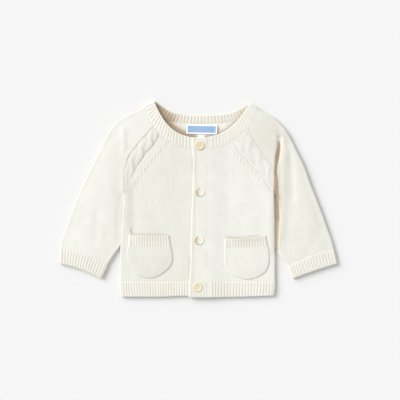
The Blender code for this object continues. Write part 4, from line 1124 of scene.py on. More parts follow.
# %% A front's ribbed hem
def front_hem(name, sides, side, centre_x, pitch):
    """The hem of a front, with its side turned down. side is as in front()."""
    y_seam = HEM_SEAM_Y - SEAM / 2
    length_along = y_seam - HEM_EDGE_Y
    down = stations(length_along, 1.5)[:, None]
    share = down / length_along
    edge_y = y_seam + (HEM_EDGE_Y - y_seam) * share
    edge_x = seam_x(sides, edge_y)
    level = upper_level(edge_x - side * 3.0, edge_y)
    radius = (level + WALL) / 2
    centre = centre_x(edge_y)
    length = radius * math.pi / 2 + np.abs(edge_x - side * radius - centre)
    ribs = round(abs(float(centre_x(y_seam)) - sides[2][0]) / pitch)
    at, high, deep = ribs_across(ribs)
    last_rib = at > ribs - 1
    high, deep = np.where(last_rib, 0.25, high), np.where(last_rib, 0.0, deep)
    s = at / ribs * length
    seam_share, free_share = two_sides(down, length_along - down)
    drawn_in = soft(down / 4.0) - 0.35 * hump(length_along - down, 1.0)
    relief = RIB * high * drawn_in
    grids = []
    for h in ((WALL + relief) * seam_share, WALL * free_share + 0 * s):
        off, up = turned_edge(s, level, h, radius)
        x = edge_x - side * off
        y = y_seam + (hem_y(x) - y_seam) * share
        flat = s >= radius * math.pi / 2
        near_edge = soft((np.abs(x - edge_x) - radius) / 10)
        z = np.where(flat, level + (upper_level(x, y) - level) * near_edge + h, up)
        grids.append(points_at(x, y, np.maximum(z, radius + SEAM / 2)))
    place = points_at(at * 2 * WALE, grids[0][..., 1])
    shell(name, *grids, place, deep * soft(down / 4.0), rib_knit, "rib")
    cut(name, grids[1], 107.0, 25.5)


front_hem("hem_right", SIDE_RIGHT, -1, right_centre_x, RIGHT_RIB_PITCH)
front_hem("hem_left", SIDE_LEFT, 1, left_centre_x, RIB_PITCH)

# %% [markdown]
# ## The cables
#
# A rope cable is two strands that cross over each other, always in the same direction. Each strand
# swings from one side of the rope to the other, and it lies on top at every second crossing. Here
# the strands are a height on the strip beside the raglan seam: two bent tubes, with the higher one
# showing. The UV map follows the strands, so that their stitches lean with them. The line of small
# ridges beside the cable is where stitches were moved to shape the front.

# %% The rope cable
CROSSING = 21.5  # length of cloth from one crossing to the next
STRIP_WIDTH = 25.0  # of the cloth, which the seams draw in towards the underarm


def strand_swing(angle):
    """Where a strand is across the rope, from -1 to 1. It crosses faster than it turns."""
    return np.tanh(1.5 * np.cos(angle)) / math.tanh(1.5)


def rope(along, across):
    """Height of the rope and the painted shade where it is low, each from 0 to 1, and the place
    across the strand that shows.

    along counts crossings, and across runs from -1 to 1.
    """
    best, shown = np.full(np.shape(across), -1.0), np.zeros(np.shape(across))
    for phase in (0.0, math.pi):
        angle = math.pi * along + phase
        off = (across - 0.44 * strand_swing(angle)) / 0.56
        lift = 0.66 + 0.34 * np.sin(angle)
        height = np.where(np.abs(off) < 1, lift * np.sqrt(np.maximum(1 - off * off, 0)) ** 1.1, -1.0)
        shown = np.where(height > best, off + phase, shown)
        best = np.maximum(best, height)
    height = np.maximum(best, 0)
    return height, np.clip(1.0 - height / 0.4, 0, 1), shown


def raglan_strip(name, rows, side, neck_from, neck_to, cable_start, cable, groove, ridge, finish):
    """The strip of a front along the raglan seam, with its cable and fashioning marks.

    cable is where the cable lies across the strip, as two shares, and how far it stands out.
    groove is how much painted shade the channels beside it get, and ridge is how much of a purl
    ridge runs along the strip's other half, from 0 to 1.
    """
    cable_from, cable_to, cable_high = cable
    last = len(rows) - 1
    reach = math.dist(rows[-1][:2], rows[0][:2])
    step = station_shares(reach, 0.62)[:, None]
    t = step[:, 0] * last
    seam = beside(lambda q: curve(rows, q)[:, 0:2], t, side * SEAM / 2)
    front_edge = beside(lambda q: curve(rows, q)[:, 2:4], t, -side * SEAM / 2)
    width = np.hypot(*(seam - front_edge).T)[:, None]
    share = station_shares(STRIP_WIDTH, 0.5)
    points = seam[:, None] + (front_edge - seam)[:, None] * share[None, :, None]
    at_neck = beside(neck_seam, neck_from + (neck_to - neck_from) * share, SEAM)
    straight = np.array(rows[-1][:2]) + np.outer(share, np.subtract(rows[-1][2:4], rows[-1][:2]))
    points = points + (at_neck - straight)[None] * soft((step - 0.75) / 0.25)[..., None]
    x, y = points[..., 0], points[..., 1] + SEAM * (1 - soft(step / 0.05))
    cable_to = cable_to - 0.1 * (1 - soft(step / 0.3) * soft((1 - step) / 0.25))
    middle, half = (cable_from + cable_to) / 2, (cable_to - cable_from) / 2
    along = (step * reach + cable_start) / CROSSING + 0 * share
    height, deep, shown = rope(along, (share - middle) / half + 0 * step)
    inside_rope = np.abs(share - middle) < half
    grow = np.minimum(width / 24.0, 1.0)
    relief = cable_high * height * inside_rope * grow
    # a purl channel on each side of the rope, and a thin cord on the raglan seam
    channel = hump(np.abs(share - middle) - half, 0.035) * (1 - height) * (1 - 0.7 * ridge)
    beyond = (share - 0.81) * width
    relief = relief - 0.35 * channel * grow + 0.3 * hump(share * width - 1.1, 0.7)
    relief = relief + ridge * (0.5 * hump(beyond - 2.4, 0.9) - 0.3 * hump(beyond - 0.8, 0.6))
    # the fashioning marks lean towards the neck
    mark, gap = to_mark(step * reach, (share - MARKS_AT) * width)
    near_front = hump((share - MARKS_AT) * width, 2.0) * soft((width - 7) / 8)
    relief = relief + MARK_HIGH * hump(mark, 0.85) * near_front
    ends = soft(step / (0.52 - 0.3 * ridge)) * soft((1 - step) / (0.07 + 0.15 * ridge))
    seam_share, _ = two_sides(share * width, FAR)
    level = upper_level(x, y)
    outer = points_at(x, y, level + WALL * seam_share + relief * ends)
    inner = points_at(x, y, level)
    u = np.where(inside_rope & (height > 0), shown * half * STRIP_WIDTH, share * STRIP_WIDTH)
    place = points_at(u, step * reach * 1.15)
    # painted shade along the seam, between the strands, in the channels, beside the purl ridge and
    # between the marks
    on_seam = 0.3 * hump(share * width, 0.7) * soft((step - 0.5 + 0.3 * ridge) / 0.18)
    depth = deep * inside_rope * (0.15 + 0.1 * ridge) * grow
    depth = depth + groove * channel * soft(step / (0.6 - 0.5 * ridge)) + on_seam
    depth = depth + ridge * 0.42 * (hump(beyond - 0.8, 0.6) + 0.6 * hump(beyond - 4.2, 0.6))
    depth = depth + MARK_SHADE * hump(gap, 0.9) * near_front
    depth = depth * soft(step / (0.42 - 0.34 * ridge)) * soft((1 - step) / 0.07)
    shell(name, outer, inner, place, np.clip(depth, 0, 0.9), finish, "knit")
    cut(name, inner, 26.0, 112.0)


raglan_strip("raglan_right", RAGLAN_RIGHT, -1, NECK_RIGHT_RAGLAN, NECK_RIGHT_STRIP, -10.5,
             (0.05, 0.64, 1.35), 0.16, 0.0, knit_right_shaded)
raglan_strip("raglan_left", RAGLAN_LEFT, 1, NECK_LEFT_RAGLAN, NECK_LEFT_STRIP, 4.0,
             (0.05, 0.72, 0.7), 0.04, 1.0, knit_left)

# %% [markdown]
# ## The sleeves
#
# A sleeve that lies flat is a squashed tube. Its section starts at the seam on top, runs over the
# upper layer, turns round the fold and comes back underneath. The seam itself rolls down to meet
# the lower layer. The same section serves the ribbed cuff.


# %% The section of a flat sleeve
def up_sleeve(seam, fold):
    """The direction in plan up a sleeve, square to its section from the seam to the fold."""
    chord = unit(fold - seam)
    return np.sign(chord[0]) * np.array((-chord[1], chord[0]))


def tube_section(seam, lower, fold, bow, drop, turn, lower_turn, sunk=0.0):
    """One section, as (length, point, (quarter, top, half)) with point(s, h) in 3-D.

    s runs along the cloth from the seam on top, over the fold and back under to the seam: the
    quarter that turns down at the seam ends at quarter, and the half round of the fold starts at
    top and is half long. bow is how far the section swings up the sleeve, and sunk is how much
    lower the upper layer lies at the seam. From 0 to 1, turn and lower_turn say how much of a
    quarter turn the cloth makes at the seams, and drop how far the upper one goes past half way.
    """
    side = up_sleeve(seam, fold)
    width, lower_width = math.dist(fold, seam), math.dist(fold, lower)

    def plan(share):
        return seam + np.outer(share, fold - seam) + np.outer(4 * bow * share * (1 - share), side)

    def lower_plan(share):
        bowed = 4 * max(bow, 0.0) * share * (1 - share)
        return lower + np.outer(share, fold - lower) + np.outer(bowed, side)

    near = 4.0 / width
    edge_level, fold_level = (float(lie(*plan(np.array([s]))[0])) for s in (near, 1 - near))
    edge_level -= sunk
    radius = (fold_level + WALL) / 2
    half_way = (edge_level + WALL) / 2 + SEAM / 2
    foot = half_way + drop * (WALL + SEAM - half_way)
    quarter = (edge_level + WALL - foot) * math.pi / 2
    top = quarter + width - (edge_level + WALL - foot) - radius
    half = math.pi * radius
    lower_radius = (edge_level + WALL) / 2
    lower_quarter = lower_radius * math.pi / 2
    length = top + half + lower_width - radius - lower_radius + lower_quarter

    def point(s, h):
        off, height = turned_edge(s, edge_level, h, foot, turn)
        on_top = plan(off / width)
        here = lie(on_top[:, 0], on_top[:, 1])
        here = edge_level + (here - edge_level) * soft((s - quarter) / 10)
        here = here + (fold_level - here) * soft((s - top + 12) / 12)
        height = np.where(s >= quarter, here + h, height)
        angle = np.clip((s - top) / radius, 0, math.pi)
        reach = radius - WALL + h
        off = radius - reach * np.sin(angle)
        upper_half = (angle < math.pi / 2)[:, None]
        at_fold = np.where(upper_half, plan(1 - off / width), lower_plan(1 - off / lower_width))
        off, below = turned_edge(length - s, edge_level, h, lower_radius, lower_turn)
        under = lower_plan(off / lower_width)
        below = np.where(length - s < lower_quarter, edge_level + WALL - below, WALL - h)
        below = np.minimum(below, lower_radius - SEAM / 2) if lower_turn > 0.5 else below
        flat, round_part = s < top, s < top + half
        xy = np.where(flat[:, None], on_top, np.where(round_part[:, None], at_fold, under))
        z = np.where(flat, height, np.where(round_part, radius + reach * np.cos(angle), below))
        return np.column_stack([xy, np.maximum(z, 0.0)])

    return length, point, (quarter, top, half)


# %% Sections up a sleeve
SLEEVE_SINK, SLEEVE_TUCK = 1.0, 1.05  # of the right sleeve's edge, under the edge of the body


def sleeve_rows(low_rows, raglan_rows):
    """The sleeve's table: seam, lower seam, fold, bow of the section, turn of the seam."""
    rows = [(*row[:7], 1.0) for row in low_rows]
    last = len(raglan_rows) - 1
    for i, (sx, sy, _, _, fx, fy, bx, by) in enumerate(raglan_rows):
        bow = {last: NECK_BOW, last - 1: NECK_BOW / 3}.get(i, 0.0)
        rows.append((sx, sy, bx, by, fx, fy, bow, 0.35 if i == 0 else 0.0))
    return rows


def sleeve_section(rows, t, shift, lipped):
    """The section at row t, its points moved clear of the body.

    The left sleeve is lipped: its upper edge turns down to the lower layer. The right one tucks in
    under the edge of the body.
    """
    low = len(SLEEVE_RIGHT)
    row = curve(rows, t) if t < low else curve(rows[low:], t - low)
    seam, lower, fold = (row[i : i + 2].copy() for i in (0, 2, 4))
    outward = -1.0 if fold[0] < 0 else 1.0
    clear = np.array((outward * SEAM / 2, 0))
    if t >= low:
        ahead = curve(rows[low:], t - low + 0.01) - curve(rows[low:], t - low - 0.01)
        along, below = unit(ahead[:2]), unit(ahead[2:4])
        clear = outward * SEAM / 2 * np.array((along[1], -along[0]))
        lower += outward * SEAM / 2 * np.array((below[1], -below[0])) - clear
    above_cuff = float(soft((t - 1.2) / 1.0))
    tucked = 0.0 if lipped else above_cuff * float(soft((low - t) / 0.25))
    seam += clear + shift + np.array((SLEEVE_TUCK * tucked, 0))
    lower += clear + shift
    fold += shift
    turn = min(max(row[7], 0.0), 1.0)
    drop = float(soft((turn - 0.35) / 0.5)) if lipped else 0.0
    turn = turn if lipped else turn * (1 - 0.85 * above_cuff)
    lower_turn = 0.0 if lipped else turn
    return tube_section(seam, lower, fold, row[6], drop, turn, lower_turn, SLEEVE_SINK * tucked)


def painted_fold_shade(s, top, half):
    """Painted shade on a fold: a little where it turns down, and more where it faces the table."""
    round_it = (s - top) / half
    facing = soft((round_it - 0.46) / 0.2) * soft((1.1 - round_it) / 0.2)
    return np.maximum(0.24 * hump(round_it - 0.3, 0.3), 0.7 * facing)


# %% Where a sleeve meets the neckband
def neck_end(row):
    """The neckband's seam from the raglan on top, round the fold, to the back raglan.

    Gives the share of its length, X and Y.
    """
    seam, way_up = NECK_FINE[:, 3:6], NECK_FINE[:, 8]
    side = np.flatnonzero(seam[:, 0] * row[4] > 0)

    def nearest(point, on_other_layer):
        away = np.hypot(*(seam[side, :2] - point).T)
        return side[np.argmin(away + FAR * on_other_layer[side])]

    first, final = nearest(row[0:2], way_up < 0), nearest(row[2:4], way_up > 0)
    path = seam[first : final + 1] if final > first else seam[final : first + 1][::-1]
    run = distance_along(path)
    return run / run[-1], path[:, 0], path[:, 1]


# %% The two sleeves
SECTION_PARTS = (8, 47, 14, 21, 5)  # points on the turn, the top, the fold, underneath and the end
CUFF_CLEAR = 0.65 * SEAM  # a sleeve and its cuff each keep this far off their seam
EASED_ROWS = 0.9  # the last rows of a sleeve, which are eased onto the neckband's seam


def sleeve(name, low_rows, raglan_rows, lipped, axis, seamed_from, groove, finish):
    """axis is the sleeve's direction in plan, from the cuff up, which its stitches follow.

    The raglan seam is drawn in from the row seamed_from on, and groove is how much painted shade it
    gets there.
    """
    rows = sleeve_rows(low_rows, raglan_rows)
    last = len(rows) - 1
    middles = sampled(rows, 300)
    lengths = distance_along((middles[:, 0:2] + middles[:, 4:6]) / 2)
    reach = lengths[-1]
    steps = stations(reach, 2.0)
    places = np.interp(steps, lengths, np.linspace(0, last, 300))
    up_at_cuff = up_sleeve(np.array(rows[0][0:2]), np.array(rows[0][4:6]))
    way = unit(np.array(axis))
    across = np.array((way[1], -way[0])) * np.sign(rows[-1][4])
    neck_share, *neck_plan = neck_end(rows[-1])
    outer, inner, place, deep = [], [], [], []
    for step, t in zip(steps, places):
        shift = CUFF_CLEAR * up_at_cuff * max(1 - t / 0.5, 0)
        length, point, (quarter, top, half) = sleeve_section(rows, t, shift, lipped)
        ends = (0, quarter, top, top + half, length - quarter, length)
        parts = zip(ends, ends[1:], SECTION_PARTS)
        s = np.concatenate([*(np.linspace(*part, endpoint=False) for part in parts), [length]])
        share, _ = two_sides(np.minimum(step, reach - step), FAR)
        to_raglan = np.where(t > len(low_rows), s, FAR)
        seamed = float(soft((t - seamed_from) / 1.2))
        share = np.minimum(share, rounding(to_raglan, 1.0, 0.32 * seamed))
        line, under = point(s, WALL * share), point(s, 0 * s)
        if t > last - EASED_ROWS:
            end_length, end_point, _ = sleeve_section(rows, last, 0 * shift, lipped)
            own_end = end_point(s / length * end_length, 0 * s + WALL / 2)[:, :2]
            target = points_at(*(np.interp(s / length, neck_share, part) for part in neck_plan))
            ease = (target - own_end) * float(soft((t - last + EASED_ROWS) / EASED_ROWS))
            line[:, :2] += ease
            under[:, :2] += ease
        outer.append(line)
        inner.append(under)
        flat = np.minimum(s, top)
        at = point(flat, 0 * s + WALL)[:, :2]
        place.append(points_at(at @ across + (s - flat), at @ way))
        # painted shade under the right sleeve's fold, in the raglan seam and at the neck end
        rim = 0 * s if lipped else painted_fold_shade(s, top, half)
        deep.append(groove * hump(s, 0.7) * seamed + rim + 0.08 * hump(reach - step, 0.9))
    outer, inner, place, deep = (np.array(grid) for grid in (outer, inner, place, deep))
    shell(name, outer, inner, place, np.clip(deep, 0, 1), finish, "knit")
    cut(name, inner, 178.0, 252.0)


sleeve("sleeve_right", SLEEVE_RIGHT, RAGLAN_RIGHT, False, (36.0, 150.0), 7.6, 0.5, sleeve_right_knit)
sleeve("sleeve_left", SLEEVE_LEFT, RAGLAN_LEFT, True, (-36.0, 150.0), 5.3, 0.22, sleeve_left_knit_shaded)


# %% The ribbed cuffs
def cuff(name, seam_row, edge_row, ribs):
    """A cuff, from its seam with the sleeve to its edge, with as many ribs below as on top."""
    seam_row, edge_row = np.array(seam_row), np.array(edge_row)
    down = -up_sleeve(seam_row[0:2], seam_row[4:6])
    reach = 24.0
    at, high, deep = ribs_across(ribs)
    under_at, under_high, under_deep = ribs_across(ribs)
    outer, inner, place, depth = [], [], [], []
    for step in stations(reach, 1.4):
        share = step / reach
        row = seam_row * (1 - share) + edge_row * share
        shift = down * CUFF_CLEAR * (1 - share)
        seam, lower, fold = (row[i : i + 2] + shift for i in (0, 2, 4))
        length, point, (_, top, half) = tube_section(seam, lower, fold, row[6], 0.0, 1.0, 1.0)
        ribbed = top + half * 0.75
        s = np.concatenate([at / ribs * ribbed, ribbed + under_at[1:] / ribs * (length - ribbed)])
        crest = np.concatenate([high, under_high[1:]])
        groove = np.concatenate([deep, under_deep[1:]])
        seam_share, free_share = two_sides(step, reach - step)
        drawn_in = soft(step / 4.0) - 0.35 * hump(reach - step, 1.0)
        raised = WALL + RIB * crest * drawn_in
        pressed = WALL - RIB * RIB_PRESSED * (1 - crest)
        blend = soft((s - top - half * 0.3) / (half * 0.6))
        h = (raised * (1 - blend) + pressed * blend) * seam_share
        outer.append(point(s, h))
        inner.append(point(s, 0 * s + WALL * free_share))
        u = np.concatenate([at, at[-1] + under_at[1:]]) * 2 * WALE
        place.append(points_at(u, share * reach))
        # painted shade in the grooves, and under the right cuff's fold
        rim = 0 * s if seam[0] > 0 else painted_fold_shade(s, top, half)
        depth.append(np.maximum(groove * soft(step / 4.0), rim))
    grids = [np.array(grid) for grid in (outer, inner, place, depth)]
    shell(name, *grids, rib_knit, "rib")
    cut(name, grids[1], 152.0, 25.0)


cuff("cuff_right", SLEEVE_RIGHT[0], CUFF_EDGE_RIGHT, CUFF_RIBS_RIGHT)
cuff("cuff_left", SLEEVE_LEFT[0], CUFF_EDGE_LEFT, CUFF_RIBS_LEFT)

# %% [markdown]
# ## The neckband
#
# The posts above give the middle of the neckband's wall. Each column of its grid is one more post,
# with eight of them to a rib, and each point moves out or in from the middle, square to the cloth.
# So the ribs fan out round the curve by themselves.


# %% The ribbed neckband
def neckband():
    """The neckband, from its right front end round the back to its left front end."""
    lengths = distance_along((NECK_FINE[:, 0:3] + NECK_FINE[:, 3:6]) / 2)
    ribs = round(lengths[-1] / NECK_RIB_PITCH)
    at, high, deep = ribs_across(ribs)
    row = curve(NECK_POSTS, np.interp(at / ribs * lengths[-1], lengths, NECK_PLACES))
    free, seam, way = row[:, 0:3], row[:, 3:6], unit(row[:, 6:9])
    width = np.linalg.norm(free - seam, axis=1)
    share = station_shares(19.0, 1.25)[:, None]
    points = free + (seam - free) * share[..., None]
    to_free, to_seam = share * width, (1 - share) * width
    seam_share, free_share = two_sides(to_seam, to_free)
    first_last = (at < 0.98) | (at > ribs - 0.98)
    high, deep = np.where(first_last, 0.2, high), np.where(first_last, 0.0, deep)
    at_front = soft(0.5 + way[:, 2])
    strength = 1.4 - (0.35 + 0.5 * soft((points[..., 0] - 5.0) / 30.0)) * at_front
    relief = RIB * strength * high * (0.65 + 0.35 * soft(to_free / 2)) * soft(to_seam / 3.5)
    ends = np.minimum(at, ribs - at) * NECK_RIB_PITCH
    end_share, end_under = two_sides(FAR, ends)
    top = WALL * (np.minimum(np.minimum(seam_share, 1 - free_share), end_share) - 0.5) + relief
    under = WALL * (np.maximum(free_share, end_under) - 0.5) - 0.8 * relief
    outer, inner = points + way * top[..., None], points + way * under[..., None]
    outer[..., 2], inner[..., 2] = np.maximum(outer[..., 2], 0), np.maximum(inner[..., 2], 0)
    place = points_at(at * 2 * WALE, share * width)
    # painted shade in the grooves between ribs, in step with the ribs' strength
    groove = 0.8 * strength * deep * soft(to_seam / 3.5)
    # painted shade on the inside of the band, more where the other layer lies over it
    ix, iy = points[..., 0], points[..., 1]
    over = 1.5 * hump(to_line(ix, iy, (-66.0, 146.0, -44.0, 120.0)), 11.5)
    over = np.maximum(over, 0.45 * hump(to_line(ix, iy, (74.0, 142.0, 62.0, 124.0)), 8.0))
    lower = soft(0.5 - way[:, 2])
    inner_deep = 0.15 + 0.78 * deep + over * lower * (0.7 + 0.6 * deep)
    inner_deep = np.clip(inner_deep, 0, 1.35) + 0 * share
    shell("neckband", outer, inner, place, np.clip(groove, 0, 1), rib_knit, "rib", inner_deep)
    cut("neckband", points, 20.0, float(lengths[-1]) + 24)


neckband()

# %% [markdown]
# ## The button bands
#
# The upper band carries the buttonholes. It is knitted double, so its free edge is thick and
# round, with a shallow fold line beside it. The lower band is hidden, but a buttoned cardigan
# without it would look hollow from the side.


# %% The two bands
def band(name, low_y, high_y, left_x, right_x, level, upper):
    """A button band between two edges. Only the upper one has a finished edge and ribs."""
    length = high_y - low_y
    up = stations(length, 1.3)[:, None]
    y = low_y + up
    share = station_shares(24.0, 0.8)
    x0, x1 = left_x(y), right_x(y)
    x = x0 + (x1 - x0) * share
    y = y + 0 * x
    from_left, from_right = x - x0, x1 - x
    to_end = np.minimum(up, length - up) + 0 * x
    if upper:
        seam_share, _ = two_sides(from_right, FAR)
        free_share, free_under = two_sides(FAR, np.minimum(to_end, from_left * 0.75))
        roll = 0.32 * hump(from_left - 2.2, 2.3) - 0.05 * hump(from_left - 7.0, 2.0)
        fold_line = 0.08 * np.sin(y / 9.0) * hump(from_left - 5.2, 1.8)
        in_hem = soft((HEM_SEAM_Y - y) / 3) * soft((from_left - 5.5) / 1.5)
        crest = np.abs(np.sin(math.pi * (x - BUTTON_BAND_X) / RIB_PITCH))
        rib = 0.55 * RIB * in_hem * (crest**0.7 - 0.4)
        h = WALL * np.minimum(seam_share, free_share) + (roll + fold_line + rib) * soft(to_end / 1.5)
        # painted shade beside the seam and beside the fold line, and in the grooves of the hem's ribs
        deep = 0.07 * hump(from_right, 0.9) + 0.09 * hump(from_left - 6.0, 2.6)
        deep = np.maximum(deep, RIB_SHADE * in_hem * (1 - crest) ** 2.2)
    else:
        h = WALL + 0 * x
        free_under = 0 * x
        # a little painted shade all over
        deep = 0.1 + 0 * x
    z = level(x, y)
    outer, inner = points_at(x, y, z + h), points_at(x, y, z + WALL * free_under)
    shell(name, outer, inner, points_at(x, y), np.clip(deep, 0, 1), band_knit, "rib")
    cut(name, inner, 28.0, length + 1)


band("band_left", HEM_EDGE_Y, BAND_EDGE[0][1], band_edge_x,
     lambda y: BUTTON_BAND_X - SEAM / 2 + 0 * y, band_level, True)
band("band_right", HEM_EDGE_Y + 0.6, BAND_EDGE[0][1] - 0.5,
     lambda y: band_edge_x(y) + BUTTONHOLE_LAP + 0.9, lambda y: BUTTON_BAND_X - 1.2 + 0 * y,
     upper_level, False)

# %% [markdown]
# ## The pockets
#
# A patch pocket is sewn down round its outline and puffs a little in the middle. Its rounded edge
# casts the thin shadow that makes it readable, so the edge has its real thickness. The ribbed top
# stands away from the front, because the opening gapes.


# %% Patch pockets
POCKET_GAP = 0.3 * REST
PUFF = 0.6  # how far a pocket's middle stands out


def pocket(name, rows, finish):
    """A pocket below its ribbed top, with the cloth pressed thin at its sewn edge."""
    fine = sampled(rows, 300)
    drop = np.abs(fine[:, 1] - fine[0, 1])
    down = stations(drop[-1], 1.2, (0.0, 0.15, 0.4, 0.8))
    row = curve(rows, np.interp(down, drop, np.linspace(0, len(rows) - 1, 300)))[:, None]
    share = station_shares(66.0, 1.3, (0.0, 0.25, 0.6, 1.1, 1.8))
    x = row[..., 0] + (row[..., 2] - row[..., 0]) * share
    y = row[..., 1] + (row[..., 3] - row[..., 1]) * share
    to_edge = to_outline(x, y, outline_of(rows, 260))
    edge = rounding(np.maximum(to_edge - 0.2, 0), 2.6, 0.85)
    middle = soft(to_edge / 16.0) * soft(down[:, None] / 12.0)
    belly = PUFF * middle
    ripple = 0.14 * np.sin((x + y * 0.6) / 11.0) * middle
    level = upper_level(x, y) + WALL + POCKET_GAP
    outer = points_at(x, y, level + belly + ripple + POCKET_WALL * edge)
    inner = points_at(x, y, level + 0.6 * belly)
    # painted shade: a little over the whole pocket, and more along its edge towards the right
    right_low = soft((x - row[..., 0].mean() - 18) / 40)
    deep = 0.06 + 0.22 * right_low * hump(to_edge, 1.1)
    shell(name, outer, inner, points_at(x, y), deep, finish, "knit")
    cut(name, inner, 70.0, 50.0)


pocket("pocket_right", POCKET_RIGHT, knit_right_shaded)
pocket("pocket_left", POCKET_LEFT, knit_left)


# %% Their ribbed tops
def pocket_rib(name, rows):
    """A pocket's ribbed top, whose upper edge sags and gapes. It is plain for 2 % at each end."""
    at, high, deep = ribs_across(POCKET_RIBS)
    at = 0.02 + 0.96 * at / POCKET_RIBS
    at = np.concatenate([[0.0, 0.006, 0.013], at, [0.987, 0.994, 1.0]])
    high, deep = (np.concatenate([[0, 0, 0], line, [0, 0, 0]]) for line in (high, deep))
    reach = 18.5
    down = stations(reach, 1.3)[:, None]
    share = down / reach
    top, low = np.array(rows[0]), np.array(rows[1])
    x0, y0, x1, y1, sag, gape = np.moveaxis(top * (1 - share) + low * share, -1, 0)[..., None]
    bowed = 4 * at * (1 - at)
    x = x0 + (x1 - x0) * at
    y = y0 + (y1 - y0) * at - sag * bowed
    level = upper_level(x, y) + WALL + POCKET_GAP + gape * bowed * (1 - share)
    sides = rounding(np.minimum(at, 1 - at) * 64.0, 2.4, 0.7)
    _, free_share = two_sides(FAR, down)
    relief = RIB * high * (0.65 + 0.35 * soft(down / 2.0)) * soft((reach - down) / 4.0)
    h = POCKET_WALL * np.minimum(sides, 1 - free_share) + relief
    outer = points_at(x, y, level + h)
    inner = points_at(x, y, level + 0.9 * POCKET_WALL * free_share)
    place = points_at(at * POCKET_RIBS * 2 * WALE, y)
    # painted shade in the grooves, and an even painted shade on the inner side, which shows in the
    # opening
    depth = deep * soft((reach - down) / 4.0)
    shell(name, outer, inner, place, depth, rib_knit, "rib", 0.8 + 0 * depth)
    cut(name, inner, 66.0, 19.5)


pocket_rib("pocket_rib_right", POCKET_RIB_RIGHT)
pocket_rib("pocket_rib_left", POCKET_RIB_LEFT)

# %% [markdown]
# ## The woven label and the size tab
#
# The label inside the neck is a satin ribbon with a coloured field in a white border, folded under
# at both ends and caught down with a few stitches. It is left bare. Its threads are so fine that a
# wave in both directions does for the weave.

# %% The labels' finish
LABEL_W, LABEL_H, LABEL_AT = 46.4, 14.6, (5.0, 104.9)
LABEL_BORDER = (1.9, 2.2)  # at its ends, and along its long sides
LABEL_TILT = math.radians(-1.0)
TAB_W, TAB_TOP, TAB_END, TAB_X = 11.5, 96.6, 84.0, 4.3


def woven_finish(name, field, border, half_w, half_h):
    """A weave with a field inside a border. Half sizes of the field are in metres."""
    made, start, shader = new_material(name, field, 0.5, {"Sheen Weight": 0.2})
    cloth = start.node("ShaderNodeUVMap", {"uv_map": "cloth"})
    u, v = cloth.split()
    weave = (u * 9000.0).sine() * (v * 14000.0).sine() * 0.5 + 0.5
    grain = cloth.noise(900.0)
    inside_u = ((half_w - abs(u)) * 3500.0 + (grain - 0.5)).limited()
    inside_v = ((half_h - abs(v)) * 3500.0 + (grain - 0.5)).limited()
    shade = (weave * 0.14 + (grain - 0.5) * 0.2).limited()
    threads = shade.blend(field, tuple(0.72 * c for c in field))
    (inside_u * inside_v).blend(border, threads).feed(shader, "Base Color")
    weave.bump(0.4, 0.0001).feed(shader, "Normal")
    return made


label_finish = woven_finish(
    "label_weave", (0.305, 0.455, 0.69), (0.88, 0.89, 0.91),
    (LABEL_W / 2 - LABEL_BORDER[0]) * MM, (LABEL_H / 2 - LABEL_BORDER[1]) * MM,
)
tab_finish = woven_finish("tab_weave", (0.86, 0.88, 0.90), (0.80, 0.83, 0.88), 0.0046, 0.012)


# %% The label and the tab under it
def ribbon(name, width, height, middle, tilt, lift, end_fold, finish, slot):
    """A thin woven strip over the back's inside.

    lift gives its height from the places across it, and end_fold is how much thicker its folded
    ends are.
    """
    s = stations(width, 1.0, (0.0, 0.1, 0.25, 0.5)) - width / 2
    t = stations(height, 1.0, (0.0, 0.1, 0.25, 0.5))[:, None] - height / 2
    x = middle[0] + s * math.cos(tilt) - t * math.sin(tilt)
    y = middle[1] + s * math.sin(tilt) + t * math.cos(tilt)
    z = WALL + 0.3 + lift(s)
    to_edge = np.minimum(width / 2 - np.abs(s), height / 2 - np.abs(t))
    thick = 0.55 * rounding(to_edge, 0.35, 0.5)
    fold = end_fold * soft((np.abs(s) - width / 2 + 3.0) / 0.5)
    outer, inner = points_at(x, y, z + thick + fold), points_at(x, y, z)
    shell(name, outer, inner, points_at(s, t), 0 * x, finish, slot)
    cut(name, inner, width, height)


ribbon("label", LABEL_W, LABEL_H, LABEL_AT, LABEL_TILT,
       lambda s: 0.25 * hump(s - 4, 12.0) + 0.55 * soft((s - 17) / 7) + 0.1 * np.sin(s / 5.0),
       0.25, label_finish, "label")
ribbon("size_tab", TAB_W, TAB_TOP - TAB_END, (TAB_X, (TAB_TOP + TAB_END) / 2), LABEL_TILT,
       lambda s: 0.05 + 0.15 * hump(s, 3.0), 0.0, tab_finish, "tab")

# %% [markdown]
# ## The buttons
#
# Each button is turned like a shallow dish with a raised rim, so the profile is spun round. The four
# holes are cut with a Boolean, and the thread is two short bars that dip into the holes.

# %% Finishes of the button and its thread
def pearl_finish(name, pale, warm, painted_left_shade):
    """Polished shell: cloudy cream with a clear coat, and painted shade that makes it browner at the
    rim.

    The last argument is how much painted shade makes it browner on the left than on the right, and
    paler to the right.
    """
    coat = {"Coat Weight": 0.4, "Coat Roughness": 0.2}
    made, start, shader = new_material(name, pale, 0.22, coat)
    place = start.node("ShaderNodeTexCoord", None, None, 3)
    cloud, vein = place.noise(160.0, 3.0, 1.2), place.noise(620.0)
    # each button's own box, from its middle
    x, y = (part - 0.5 for part in start.node("ShaderNodeTexCoord").split())
    off_x, off_y = x - 0.04, y - 0.03
    rim = ((off_x * off_x + off_y * off_y) * 12.0 - 2.0).limited()
    # the warm colour is the shell's cloudy tone, and also painted shade at the rim and on the left
    # side
    share = (cloud - 0.42) * 2.2 + (vein - 0.5) * 0.5 - (x + 0.05) * painted_left_shade + rim * 1.2
    share.limited().blend(pale, warm).feed(shader, "Base Color")
    (0.18 + vein * 0.14).feed(shader, "Roughness")
    return made


